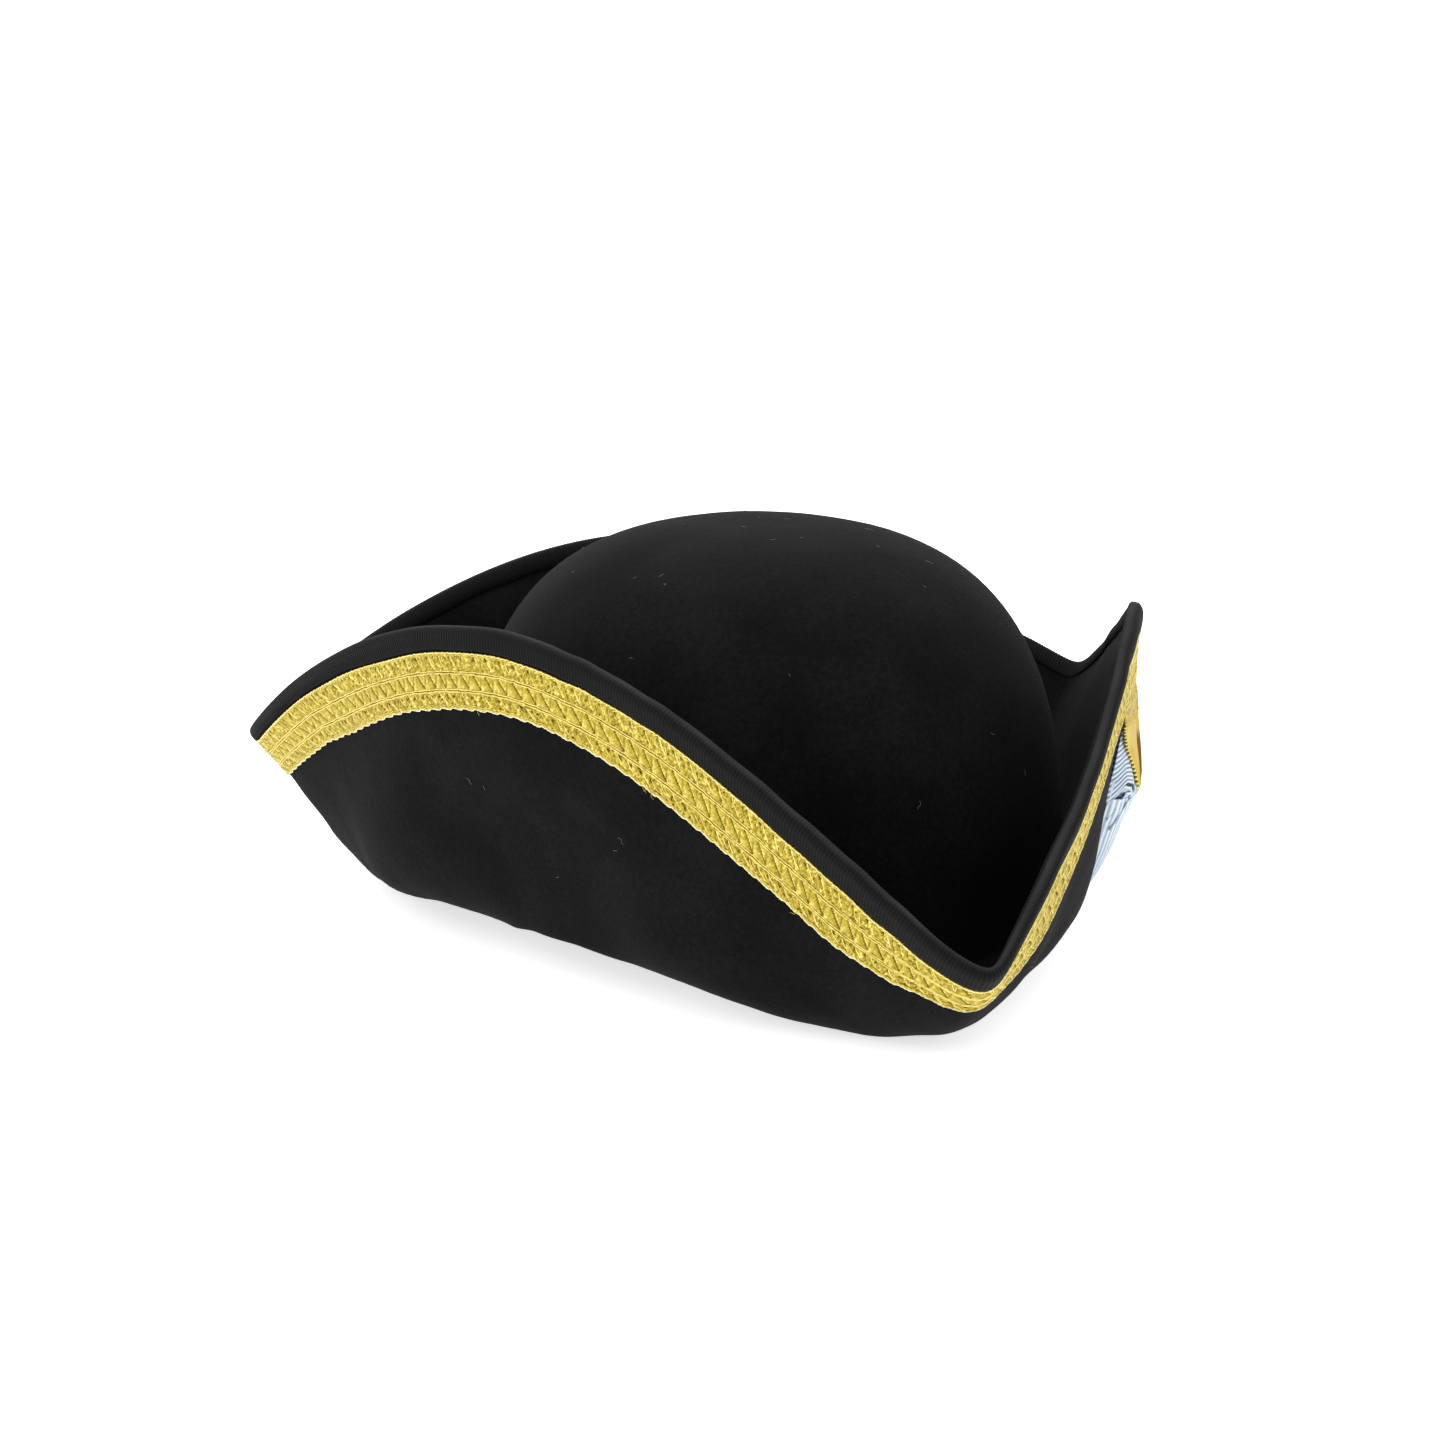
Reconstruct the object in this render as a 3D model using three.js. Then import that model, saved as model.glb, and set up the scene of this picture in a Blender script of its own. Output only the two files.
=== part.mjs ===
// Tricorn hat. One body of wool felt makes the crown and the brim, and the brim is turned up into
// three panels that meet in three spouts. A folded ribbon binds its edge, a gold braid runs just
// under the binding, and a ribbon cockade sits on the wearer's left panel under a gold strap.
// Millimetres, +Z up. The front spout points to -Y and the wearer's left is +X. The hat rests on
// z = 0, and the origin is under the middle of its box.
import * as THREE from "three";

// Felt body
const feltThickness = 2.4;
const headLength = 204; // inside the crown at the brim break, front to back
const headWidth = 176;
const headSideRise = 8.3; // how much higher the break sits at the temples than front and back
const crownHeight = 115.8; // from the lowest break to the top, at mid felt
const crownSquareness = 2.9; // 2 is a plain ellipse, more is squarer
const brimWidth = 95;
const foldRadius = 2; // where crown turns into brim, at mid felt
const cornerRoundness = 0.027; // share of half a panel that a spout's round end takes
const restFlat = 1; // how deep the felt is pressed flat where the hat stands

// Trims
const trimGap = 0.3;
const bindingWidth = 4.6; // on each face of the brim
const bindingThickness = 1;
const bindingRound = 0.8;
const braidWidth = 18.8;
const braidThickness = 1.2;

// Cockade on the left panel
const cockadePlace = 0.5; // share of the way along the panel, from the front spout
const ribbonThickness = 1;
const ribbonLift = 0.5; // under the loops, whose flat strips lie on rounded felt
const ribbonWidth = 24;
const pinchWidth = 6;
const pinchReach = 4.5; // where the loops end round the knot
const knotWidth = 6;
const knotHeight = 8.7;
const strapWidth = 10;
const strapEndWidth = 5;
const strapThickness = 1;
const strapOverBraid = 6; // how far its upper end lies on the braid

// The front, rear left and rear right spouts. Angle is in plan from +X. Reach past the head ring
// and height over the break are shares of the brim width. The felt leaves the fold at one slope,
// in degrees, and meets the edge at another (lean), and keeps each for a share of the way between.
const spouts = [
  { angle: -90, reach: 0.788, height: 0.256, leave: -50, nearFold: 0.5, lean: 42, nearEdge: 0.1 },
  { angle: 29, reach: 0.747, height: 0.5, leave: -23, nearFold: 0.64, lean: 45, nearEdge: 0.62 },
  { angle: 151, reach: 0.747, height: 0.5, leave: -23, nearFold: 0.64, lean: 45, nearEdge: 0.62 },
];

// The panel that follows each spout (left, back, right), in the same shares, at its middle.
const panels = [
  { reach: 0.246, height: 0.989, leave: 65, nearFold: 0.11, lean: 79, nearEdge: 0.29 },
  { reach: 0.265, height: 0.961, leave: 65, nearFold: 0.11, lean: 68, nearEdge: 0.29 },
  { reach: 0.332, height: 1.081, leave: 65, nearFold: 0.11, lean: 79, nearEdge: 0.29 },
];
const reachFalloff = 2.31; // how fast the edge comes in from a spout to its panel
const heightFalloff = 1.87; // how fast it climbs
const spoutHold = 1.32; // more than 1 keeps a spout's section further along the panel

// The cockade's loops: direction in degrees from the rear of the hat towards its edge, reach as a
// share of the brim width, and the height of the fold at the tip as a share of the height that
// they climb to at the knot. The first one points up and ends just under the braid.
const loopCentreHeight = 7.8;
const loops = [
  { name: "cockade_loop_upper", direction: 90, reach: 0.29, tip: 0.2 },
  { name: "cockade_loop_front", direction: 180, reach: 0.19, tip: 0.38 },
  { name: "cockade_loop_lower", direction: 270, reach: 0.337, tip: 0.38 },
  { name: "cockade_loop_rear", direction: 0, reach: 0.21, tip: 0.38 },
];

// Mesh steps
const panelSteps = 24;
const spoutCrowding = 1.8; // more than 1 sets the steps closer together at the spouts
const crownRings = 9;
const foldRings = 3;
const lowerBrimRings = 7;
const restSamples = 60;
const slopeStep = 0.002;

const degree = Math.PI / 180;
const halfFelt = feltThickness / 2;
const ringHalfLength = headLength / 2 + halfFelt;
const ringHalfWidth = headWidth / 2 + halfFelt;
const trimBase = halfFelt + trimGap;
const braidTop = bindingWidth + trimGap;
const braidBottom = braidTop + braidWidth;
const cockadeDrop = braidBottom + trimGap + loops[0].reach * brimWidth; // from the felt's edge

const mix = (a, b, share) => a + (b - a) * share;
const smooth = (share) => share * share * (3 - 2 * share);

function headRadius(angle) {
  return 1 / Math.hypot(Math.cos(angle) / ringHalfWidth, Math.sin(angle) / ringHalfLength);
}

function radiusOf(row, angle) {
  return headRadius(angle) + row.reach * brimWidth;
}

// The hat's section at a place round it. Girth runs from 0 at the front spout through 1 and 2 at
// the rear spouts to 3 at the front again.
function sectionAt(girth) {
  const turn = ((girth % 3) + 3) % 3;
  const index = Math.min(Math.floor(turn), 2);
  const share = turn - index;
  const from = spouts[index];
  const to = spouts[(index + 1) % 3];
  const panel = panels[index];
  const start = from.angle * degree;
  const sweep = ((((to.angle - from.angle) % 360) + 360) % 360) * degree;
  const angle = start + sweep * share;
  const middle = start + sweep / 2;
  const inwards = 1 - Math.abs(2 * share - 1);
  const rounded =
    (Math.hypot(inwards, cornerRoundness) - cornerRoundness) /
    (Math.hypot(1, cornerRoundness) - cornerRoundness);
  const alongSpouts = smooth(share);
  const spoutRadius = mix(radiusOf(from, start), radiusOf(to, start + sweep), alongSpouts);
  const spoutHeight = mix(from.height, to.height, alongSpouts) * brimWidth;
  const reachShare = 1 - (1 - rounded) ** reachFalloff;
  const heightShare = 1 - (1 - rounded) ** heightFalloff;
  const edgeRadius = mix(spoutRadius, radiusOf(panel, middle), reachShare);
  const edgeHeight = mix(spoutHeight, panel.height * brimWidth, heightShare);

  const opened = smooth(inwards ** spoutHold);
  const swept = (column) => mix(mix(from[column], to[column], share), panel[column], opened);
  const lean = swept("lean") * degree;
  const leave = swept("leave") * degree;
  const ring = headRadius(angle);
  const base = headSideRise * Math.cos(angle) ** 2;
  const foldCentre = new THREE.Vector2(ring + foldRadius, base + foldRadius);
  const foldTurn = Math.PI / 2 + leave;
  const foldEnd = foldPoint(foldCentre, foldTurn, 1).point;
  const edge = new THREE.Vector2(edgeRadius, edgeHeight);
  const span = edge.distanceTo(foldEnd);
  const nearFold = swept("nearFold") * span;
  const nearEdge = swept("nearEdge") * span;
  const brim = new THREE.CubicBezierCurve(
    foldEnd,
    foldEnd.clone().add(new THREE.Vector2(Math.cos(leave), Math.sin(leave)).multiplyScalar(nearFold)),
    edge.clone().sub(new THREE.Vector2(Math.cos(lean), Math.sin(lean)).multiplyScalar(nearEdge)),
    edge,
  );
  return { angle, ring, base, foldCentre, foldTurn, brim, length: brim.getLength() };
}

// A point of the round fold between crown and brim, with the direction that the felt takes there.
function foldPoint(centre, turn, share) {
  const at = Math.PI + turn * share;
  const outwards = new THREE.Vector2(Math.cos(at), Math.sin(at));
  return {
    point: centre.clone().addScaledVector(outwards, foldRadius),
    along: new THREE.Vector2(-outwards.y, outwards.x),
  };
}

// The same for the crown, a squared ellipse from its top at rise 1 down to the fold at rise 0.
function crownPoint(section, rise) {
  const power = 2 / crownSquareness;
  const out = Math.cos((rise * Math.PI) / 2) ** power;
  const up = Math.sin((rise * Math.PI) / 2) ** power;
  const foot = section.foldCentre.y;
  const height = crownHeight - foot;
  const faceOut = out ** (crownSquareness - 1) / section.ring;
  const faceUp = up ** (crownSquareness - 1) / height;
  return {
    point: new THREE.Vector2(section.ring * out, foot + height * up),
    along: new THREE.Vector2(faceUp, -faceOut).normalize(),
  };
}

// The same for the brim, at a distance down from its edge. Above the edge it runs straight on.
function brimPoint(section, drop) {
  const share = THREE.MathUtils.clamp(1 - drop / section.length, 0, 1);
  const along = section.brim.getTangentAt(share);
  const point = section.brim.getPointAt(share);
  return { point: point.addScaledVector(along, Math.max(-drop, 0)), along };
}

function inSpace(angle, flat) {
  return new THREE.Vector3(Math.cos(angle) * flat.x, Math.sin(angle) * flat.x, flat.y);
}

// The steps round the hat, crowded towards the spouts.
const girths = [];
for (let step = 0; step < 3 * panelSteps; step += 1) {
  const across = (2 * (step % panelSteps)) / panelSteps - 1;
  const crowded = Math.sign(across) * (1 - (1 - Math.abs(across)) ** spoutCrowding);
  girths.push(Math.floor(step / panelSteps) + (1 + crowded) / 2);
}
const sections = girths.map(sectionAt);

// One ring of points round the hat, set off from mid felt towards the brim's outer face.
function ringOf(pointOn, offset) {
  const placed = sections.map((section) => {
    const { point, along } = pointOn(section);
    return { point: inSpace(section.angle, point), along: inSpace(section.angle, along) };
  });
  const count = placed.length;
  return placed.map(({ point, along }, index) => {
    const before = placed[(index + count - 1) % count].point;
    const after = placed[(index + 1) % count].point;
    const face = after.clone().sub(before).cross(along).normalize();
    return point.clone().addScaledVector(face, offset);
  });
}

// How the hat settles: it pitches until its lowest places front and back are level.
function lowestOf(girth) {
  const section = sectionAt(girth);
  let lowest = new THREE.Vector2(0, Infinity);
  for (let step = 0; step <= restSamples; step += 1) {
    for (const { point, along } of [
      foldPoint(section.foldCentre, section.foldTurn, step / restSamples),
      brimPoint(section, (section.length * step) / restSamples),
    ]) {
      const under = point.clone().add(new THREE.Vector2(along.y, -along.x).multiplyScalar(halfFelt));
      if (under.y < lowest.y) lowest = under;
    }
  }
  return lowest;
}
const lowestFront = lowestOf(0);
const lowestBack = lowestOf(1.5);
const pitch = Math.atan2(lowestBack.y - lowestFront.y, lowestFront.x + lowestBack.x);
const lift = lowestBack.x * Math.sin(pitch) - lowestBack.y * Math.cos(pitch) - restFlat;

function settled(point) {
  const { x, y, z } = point;
  const rested = z * Math.cos(pitch) - y * Math.sin(pitch) + lift;
  return new THREE.Vector3(x, y * Math.cos(pitch) + z * Math.sin(pitch), Math.max(rested, 0));
}

// A closed mesh from rings of points. Without a first and last pole the rings close on themselves.
// Each four points are split along their shorter diagonal, so faces that lie on each other match.
function skin(rings, firstPole, lastPole) {
  const width = rings[0].length;
  const points = rings.flat();
  const faces = [];
  const bands = firstPole ? rings.length - 1 : rings.length;
  for (let band = 0; band < bands; band += 1) {
    const near = band * width;
    const far = ((band + 1) % rings.length) * width;
    for (let index = 0; index < width; index += 1) {
      const next = (index + 1) % width;
      const [a, b, c, d] = [near + index, far + index, far + next, near + next];
      const shorter = points[a].distanceTo(points[c]) < points[b].distanceTo(points[d]);
      faces.push(...(shorter ? [a, b, c, a, c, d] : [a, b, d, b, c, d]));
    }
  }
  if (firstPole) {
    points.push(firstPole, lastPole);
    const last = (rings.length - 1) * width;
    for (let index = 0; index < width; index += 1) {
      const next = (index + 1) % width;
      faces.push(points.length - 2, index, next);
      faces.push(points.length - 1, last + next, last + index);
    }
  }
  return new THREE.BufferGeometry().setFromPoints(points.map(settled)).setIndex(faces);
}

// A strip of cloth as a closed mesh from cross-sections of equal length, flat at both ends.
function strip(crossSections) {
  const width = crossSections[0].length;
  const points = crossSections.flat();
  const faces = [];
  for (let row = 0; row < crossSections.length - 1; row += 1) {
    for (let index = 0; index < width; index += 1) {
      const next = (index + 1) % width;
      const near = row * width;
      const far = near + width;
      faces.push(near + index, near + next, far + next);
      faces.push(near + index, far + next, far + index);
    }
  }
  const last = (crossSections.length - 1) * width;
  for (let index = 0; index < width / 2 - 1; index += 1) {
    const a = index;
    const b = index + 1;
    const c = width - 2 - index;
    const d = width - 1 - index;
    faces.push(a, c, b, a, d, c);
    faces.push(last + a, last + b, last + c, last + a, last + c, last + d);
  }
  return new THREE.BufferGeometry().setFromPoints(points.map(settled)).setIndex(faces);
}

function feltBody() {
  const places = [];
  for (let ring = crownRings - 1; ring >= 1; ring -= 1) {
    places.push((section) => crownPoint(section, ring / crownRings));
  }
  for (let ring = 0; ring <= foldRings; ring += 1) {
    places.push((section) => foldPoint(section.foldCentre, section.foldTurn, ring / foldRings));
  }
  for (let ring = 1; ring <= lowerBrimRings; ring += 1) {
    places.push((section) => {
      const share = ring / lowerBrimRings;
      return brimPoint(section, mix(section.length, braidBottom, share));
    });
  }
  places.push((section) => brimPoint(section, (braidTop + braidBottom) / 2));
  places.push((section) => brimPoint(section, braidTop));
  places.push((section) => brimPoint(section, 0));
  const upperFace = places.map((place) => ringOf(place, -halfFelt));
  const lowerFace = places.map((place) => ringOf(place, halfFelt)).reverse();
  const top = new THREE.Vector3(0, 0, crownHeight);
  return skin(
    [...upperFace, ...lowerFace],
    top.clone().setZ(crownHeight + halfFelt),
    top.clone().setZ(crownHeight - halfFelt),
  );
}

// A ring round the brim whose section is a list of drops from the edge and offsets from mid felt.
function brimRing(outline) {
  return skin(outline.map(([drop, offset]) => ringOf((section) => brimPoint(section, drop), offset)));
}

function binding() {
  const outside = trimBase + bindingThickness;
  const over = trimGap + bindingThickness;
  return brimRing([
    [bindingWidth, outside],
    [bindingWidth, trimBase],
    [-trimGap, trimBase],
    [-trimGap, -trimBase],
    [bindingWidth, -trimBase],
    [bindingWidth, -outside],
    [bindingRound - over, -outside],
    [-over, bindingRound - outside],
    [-over, outside - bindingRound],
    [bindingRound - over, outside],
  ]);
}

function braid() {
  const middle = (braidTop + braidBottom) / 2;
  const outside = trimBase + braidThickness;
  return brimRing([
    [braidTop, outside],
    [middle, outside],
    [braidBottom, outside],
    [braidBottom, trimBase],
    [middle, trimBase],
    [braidTop, trimBase],
  ]);
}

// A point over the outer face of the left panel: distances along the panel towards the rear and up
// towards the edge from the cockade's centre, and a height over the felt.
const cockadeSpan = (() => {
  const before = sectionAt(cockadePlace - slopeStep);
  const after = sectionAt(cockadePlace + slopeStep);
  const a = inSpace(before.angle, brimPoint(before, cockadeDrop).point);
  const b = inSpace(after.angle, brimPoint(after, cockadeDrop).point);
  return a.distanceTo(b) / (2 * slopeStep);
})();

function onPanel(rearwards, upwards, height) {
  const girth = cockadePlace + rearwards / cockadeSpan;
  const drop = cockadeDrop - upwards;
  const at = (where) => {
    const section = sectionAt(where);
    return inSpace(section.angle, brimPoint(section, drop).point);
  };
  const section = sectionAt(girth);
  const along = inSpace(section.angle, brimPoint(section, drop).along);
  const round = at(girth + slopeStep).sub(at(girth - slopeStep));
  const face = round.cross(along).normalize();
  return at(girth).addScaledVector(face, halfFelt + height);
}

// A flat strip over the panel: stations of place along its direction, height and width.
function panelStrip(direction, thickness, stations) {
  const forwards = new THREE.Vector2(Math.cos(direction * degree), Math.sin(direction * degree));
  const sideways = new THREE.Vector2(-forwards.y, forwards.x);
  const crossSections = stations.map((station, index) => {
    const before = stations[Math.max(index - 1, 0)];
    const after = stations[Math.min(index + 1, stations.length - 1)];
    const run = new THREE.Vector2(after.out - before.out, after.height - before.height).normalize();
    const corner = (side, layer) => {
      const out = station.out - run.y * layer * thickness;
      const height = station.height + run.x * layer * thickness;
      const flat = forwards.clone().multiplyScalar(out);
      flat.addScaledVector(sideways, (side * station.width) / 2);
      return onPanel(flat.x, flat.y, height);
    };
    const under = [-1, 0, 1].map((side) => corner(side, -0.5));
    const over = [1, 0, -1].map((side) => corner(side, 0.5));
    return [...under, ...over];
  });
  return strip(crossSections);
}

// One loop of ribbon: out along the felt, round its tip and back up to the knot.
function cockadeLoop(row) {
  const low = ribbonLift + ribbonThickness / 2;
  const tipHeight = row.tip * loopCentreHeight;
  const high = low + tipHeight;
  const reach = row.reach * brimWidth;
  const tip = reach - ribbonThickness / 2;
  const turnOut = tipHeight / 2;
  const widthAt = (out) => {
    const share = (out - pinchReach) / (reach - pinchReach);
    return mix(pinchWidth, ribbonWidth, Math.sin((Math.min(share, 1) * Math.PI) / 2));
  };
  const path = [
    [pinchReach, low],
    [mix(pinchReach, tip, 0.33), low],
    [mix(pinchReach, tip, 0.66), low],
    [tip - turnOut, low],
    [tip, (low + high) / 2],
    [tip - turnOut, high],
    [mix(tip, pinchReach, 0.33), mix(high, loopCentreHeight, 0.3)],
    [mix(tip, pinchReach, 0.66), mix(high, loopCentreHeight, 0.66)],
    [pinchReach, loopCentreHeight],
  ];
  const stations = path.map(([out, height]) => ({ out, height, width: widthAt(out) }));
  return panelStrip(row.direction, ribbonThickness, stations);
}

// The pinched middle that the loops are gathered under, a short upright block of ribbon.
function cockadeKnot() {
  const sides = 8;
  const levels = [
    { height: trimGap, share: 1 },
    { height: knotHeight * 0.5, share: 0.85 },
    { height: knotHeight * 0.85, share: 1 },
    { height: knotHeight, share: 0.7 },
  ];
  return strip(
    levels.map(({ height, share }) =>
      Array.from({ length: sides }, (_, side) => {
        const at = (2 * Math.PI * side) / sides;
        const radius = (knotWidth / 2) * share;
        return onPanel(radius * Math.cos(at), radius * Math.sin(at), height);
      }),
    ),
  );
}

// The gold strap, from the braid's face over the upper loop to the top of the knot.
function strap() {
  const onBraid = trimGap + braidThickness + trimGap + strapThickness / 2;
  const onKnot = knotHeight + trimGap + strapThickness / 2;
  const overRibbon = ribbonThickness / 2 + trimGap + strapThickness / 2;
  const tipHeight = loops[0].tip * loopCentreHeight;
  const overTip = ribbonLift + ribbonThickness / 2 + tipHeight + overRibbon;
  const overCentre = loopCentreHeight + overRibbon;
  const braidEdge = cockadeDrop - braidBottom;
  const halfway = mix(braidEdge, pinchReach, 0.5);
  const stations = [
    { out: braidEdge + strapOverBraid, height: onBraid, width: strapWidth },
    { out: braidEdge + strapOverBraid / 2, height: onBraid, width: strapWidth },
    { out: braidEdge, height: overTip, width: strapWidth },
    { out: halfway, height: mix(overTip, overCentre, 0.55), width: strapWidth },
    { out: pinchReach, height: overCentre + 0.6, width: mix(strapWidth, strapEndWidth, 0.7) },
    { out: -knotWidth / 2, height: onKnot, width: strapEndWidth },
  ];
  return panelStrip(90, strapThickness, stations);
}

const blackFelt = { color: 0x1b1b1d, roughness: 0.95, metalness: 0 };
const greyRibbon = { color: 0x2a2a2c, roughness: 0.75, metalness: 0 };
const goldBraid = { color: 0xd8c24a, roughness: 0.45, metalness: 0.4 };
const paleRibbon = { color: 0xb9cbdb, roughness: 0.6, metalness: 0 };
const goldRibbon = { color: 0xdcbe5a, roughness: 0.4, metalness: 0.3 };

const hat = new THREE.Group();

function add(name, geometry, finish) {
  const mesh = new THREE.Mesh(geometry, new THREE.MeshStandardMaterial(finish));
  mesh.name = name;
  hat.add(mesh);
}

add("felt_body", feltBody(), blackFelt);
add("edge_binding", binding(), greyRibbon);
add("gold_braid", braid(), goldBraid);
for (const row of loops) add(row.name, cockadeLoop(row), paleRibbon);
add("cockade_knot", cockadeKnot(), paleRibbon);
add("gold_strap", strap(), goldRibbon);

// The origin goes under the middle of the hat's box.
const box = new THREE.Box3().setFromObject(hat);
const middle = box.getCenter(new THREE.Vector3());
hat.position.set(-middle.x, -middle.y, 0);

export default hat;
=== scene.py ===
import math

import bpy
import numpy as np
from mathutils import Matrix, Vector


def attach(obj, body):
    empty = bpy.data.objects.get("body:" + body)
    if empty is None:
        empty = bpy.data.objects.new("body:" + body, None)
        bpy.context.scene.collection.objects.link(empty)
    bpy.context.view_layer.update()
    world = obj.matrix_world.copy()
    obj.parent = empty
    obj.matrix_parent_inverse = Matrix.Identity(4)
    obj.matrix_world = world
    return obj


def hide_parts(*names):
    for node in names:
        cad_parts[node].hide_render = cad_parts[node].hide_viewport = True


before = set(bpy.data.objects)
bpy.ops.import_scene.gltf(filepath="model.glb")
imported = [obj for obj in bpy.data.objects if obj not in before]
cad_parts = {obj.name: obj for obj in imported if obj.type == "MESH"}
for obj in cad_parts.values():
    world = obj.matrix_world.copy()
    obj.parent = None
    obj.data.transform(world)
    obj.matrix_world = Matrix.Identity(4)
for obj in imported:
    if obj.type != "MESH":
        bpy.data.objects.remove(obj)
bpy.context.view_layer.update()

# Tricorn hat: felt, ribbon binding, gold braid and a ribbon cockade. Sizes are in millimetres and
# become metres where a mesh is made. Girth runs 0 to 3 round the hat from the front corner, with
# the rear corners at 1 and 2. A drop is a distance down the brim from the felt's edge.
print("frame loaded:", len(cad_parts), "nodes")


def mix(a, b, share):
    return a + (b - a) * share


def smooth(share):
    return share * share * (3 - 2 * share)


# From 0 at one place to 1 at the other, level at both. The first place may be the greater one.
def ramp(at, start, end):
    return smooth(np.clip((at - start) / (end - start), 0, 1))


def bump(x, width):
    return np.exp(-((x / width) ** 2))


def unit(vectors):
    return vectors / np.maximum(np.linalg.norm(vectors, axis=-1, keepdims=True), 1e-12)


# Values read from a table of places, level at each place so that no crease shows there
def eased(table, at):
    places, values = np.array(list(table), float), np.array(list(table.values()), float)
    k = np.clip(np.searchsorted(places, at, side="right") - 1, 0, len(places) - 2)
    share = ramp(at, places[k], places[k + 1])
    return mix(values[k].T, values[k + 1].T, share.T).T


# How far each girth is from the front corner, whichever way round is shorter
def fromFront(girth):
    turn = np.mod(girth, 3)
    return np.minimum(turn, 3 - turn)


# Felt body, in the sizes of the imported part
hat = {
    "feltThickness": 2.4,
    "headLength": 204,
    "headWidth": 176,
    "headSideRise": 8.3,
    "crownHeight": 115.8,
    "crownSquareness": 2.9,
    "brimWidth": 95,
    "foldRadius": 2,
    "cornerRoundness": 0.027,
    "reachFalloff": 2.31,
    "heightFalloff": 1.87,
    "spoutHold": 1.32,
    "pitch": 0.0391018,  # radians, how far it leans back to rest
    "lift": 4.31237,  # raises the leaning hat until its lowest place is on the floor
    "toOrigin": (0.1796, 22.38, 0),  # then centres its box on the frame
    "curvePoints": 201,  # points that measure the brim's length at one girth
    "girthStep": 0.0005,  # between the sections that give the felt's slope round the hat
}
# The corners and the middles of the panels. Each row has an angle round the head in degrees, which
# panels don't use, the reach and height of the edge as shares of the brim's width, then the angles
# at which the curve leaves the fold and meets the edge, each with how far it holds.
spouts = np.array([
    [-90, 0.788, 0.256, -50, 0.5, 42, 0.1],
    [29, 0.724, 0.5, -23, 0.64, 45, 0.62],
    [151, 0.735, 0.5, -23, 0.64, 45, 0.62],
])
panels = np.array([
    [0, 0.246, 0.989, 65, 0.11, 79, 0.29],
    [0, 0.265, 0.961, 65, 0.11, 68, 0.29],
    [0, 0.332, 1.081, 65, 0.11, 79, 0.29],
])
halfFelt = hat["feltThickness"] / 2

# What blocking by hand did to the even shape
handWork = {
    # Shallow waves: how many there are round the hat, lean, start and depth
    "waves": ((3, 0.045, 0.4, 1.0), (5, -0.06, 2.1, 0.7), (11, 0.09, 4.0, 0.4)),
    "waveDepth": 0.11,
    "wavesFade": (75, 45),  # drops between which they grow to full depth
    # How far the felt stands out at these drops, from the front corner at 0 to a rear one at 1
    "drops": (-3, 5, 24, 40, 53, 65, 80),
    "pushed": {
        0: (0, 0, 0, -1.0, -1.6, -1.0, 0),
        0.04: (-0.9, -0.9, 0.9, 0.5, 0, 0, 0),
        0.09: (-0.7, -0.7, 1.3, 0.9, 0.3, 0, 0),
        0.16: (0.6, 1.0, 1.6, 1.0, 0.4, 0, 0),
        0.21: (1.1, 1.5, 1.7, 1.1, 0.4, 0, 0),
        0.3: (1.3, 1.4, 1.9, 1.2, 0.5, 0, 0),
        0.38: (0.2, 0.6, 2.1, 1.3, 0.5, 0, 0),
        0.5: (-1.5, -1.0, 1.4, 1.1, 0.5, 0, 0),
        0.6: (-2.4, -1.8, 0.8, 0.8, 0.4, 0, 0),
        0.72: (-2.4, -1.8, 0.3, 0.5, 0.2, 0, 0),
        0.85: (-1.6, -1.2, 0, 0, 0, 0, 0),
        0.92: (0, 0, 0, -0.6, -1.5, -1.4, 0),
        1: (0, 0, 0, -1.4, -2.9, -2.6, -0.4),
    },
    "pushedBehind": (0.85, 1),  # the back panel is pushed only by its corners, between these
    # The felt swells below the braid, beside the front corner on the cockade's side
    "swell": {"girth": 0.08, "wide": 0.065, "drop": 36, "deep": 12, "out": 2.6},
    # How much higher the edge runs, by girth
    "lifted": {
        0: -0.7, 0.03: -0.2, 0.06: 0, 0.42: 0, 0.52: -0.8, 0.6: -1.2, 0.68: -1.0, 0.8: 0, 0.9: 0,
        1: -1.2, 1.05: -0.2, 1.12: -0.2, 1.3: -0.8, 1.5: -1.4, 1.8: -1.9, 1.9: -2.4, 1.96: -2.2,
        2.02: -1.6, 2.13: -1.0, 2.2: -0.9, 2.27: -0.75, 2.35: -0.95, 2.44: -1.6, 2.53: -1.1, 2.6: -0.3,
        2.64: 0.6, 2.7: 2.1, 2.73: 2.9, 2.77: 3.3, 2.82: 3.3, 2.86: 2.4, 2.9: 0.7, 2.93: -0.6,
        2.965: -2.2, 3: -0.7,
    },
    "liftFades": (22, 4),  # drops between which the lift grows to full height
    # How much lower the fold runs, by girth
    "sagged": {
        0: -1.2, 0.06: 0.4, 0.12: 0.3, 0.18: -1.2, 0.25: -2.2, 0.32: -0.6, 0.45: 0, 0.6: 0.8, 0.75: 2.0,
        0.9: 0.4, 1: 0, 1.2: 0.5, 1.5: 0, 1.8: 0.5, 2: 0, 2.12: 0.4, 2.2: 1.6, 2.28: 2.8, 2.38: 1.3,
        2.46: -0.8, 2.55: -1.9, 2.63: -1.6, 2.72: -0.2, 2.8: 0, 2.87: 0.8, 2.94: 0.9, 3: -1.2,
    },
    "sagGrows": (30, 65),  # drops between which the sag grows to its full depth
}


def headRadius(angle):
    halfWidth = hat["headWidth"] / 2 + halfFelt
    halfLength = hat["headLength"] / 2 + halfFelt
    return 1 / np.hypot(np.cos(angle) / halfWidth, np.sin(angle) / halfLength)


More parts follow.
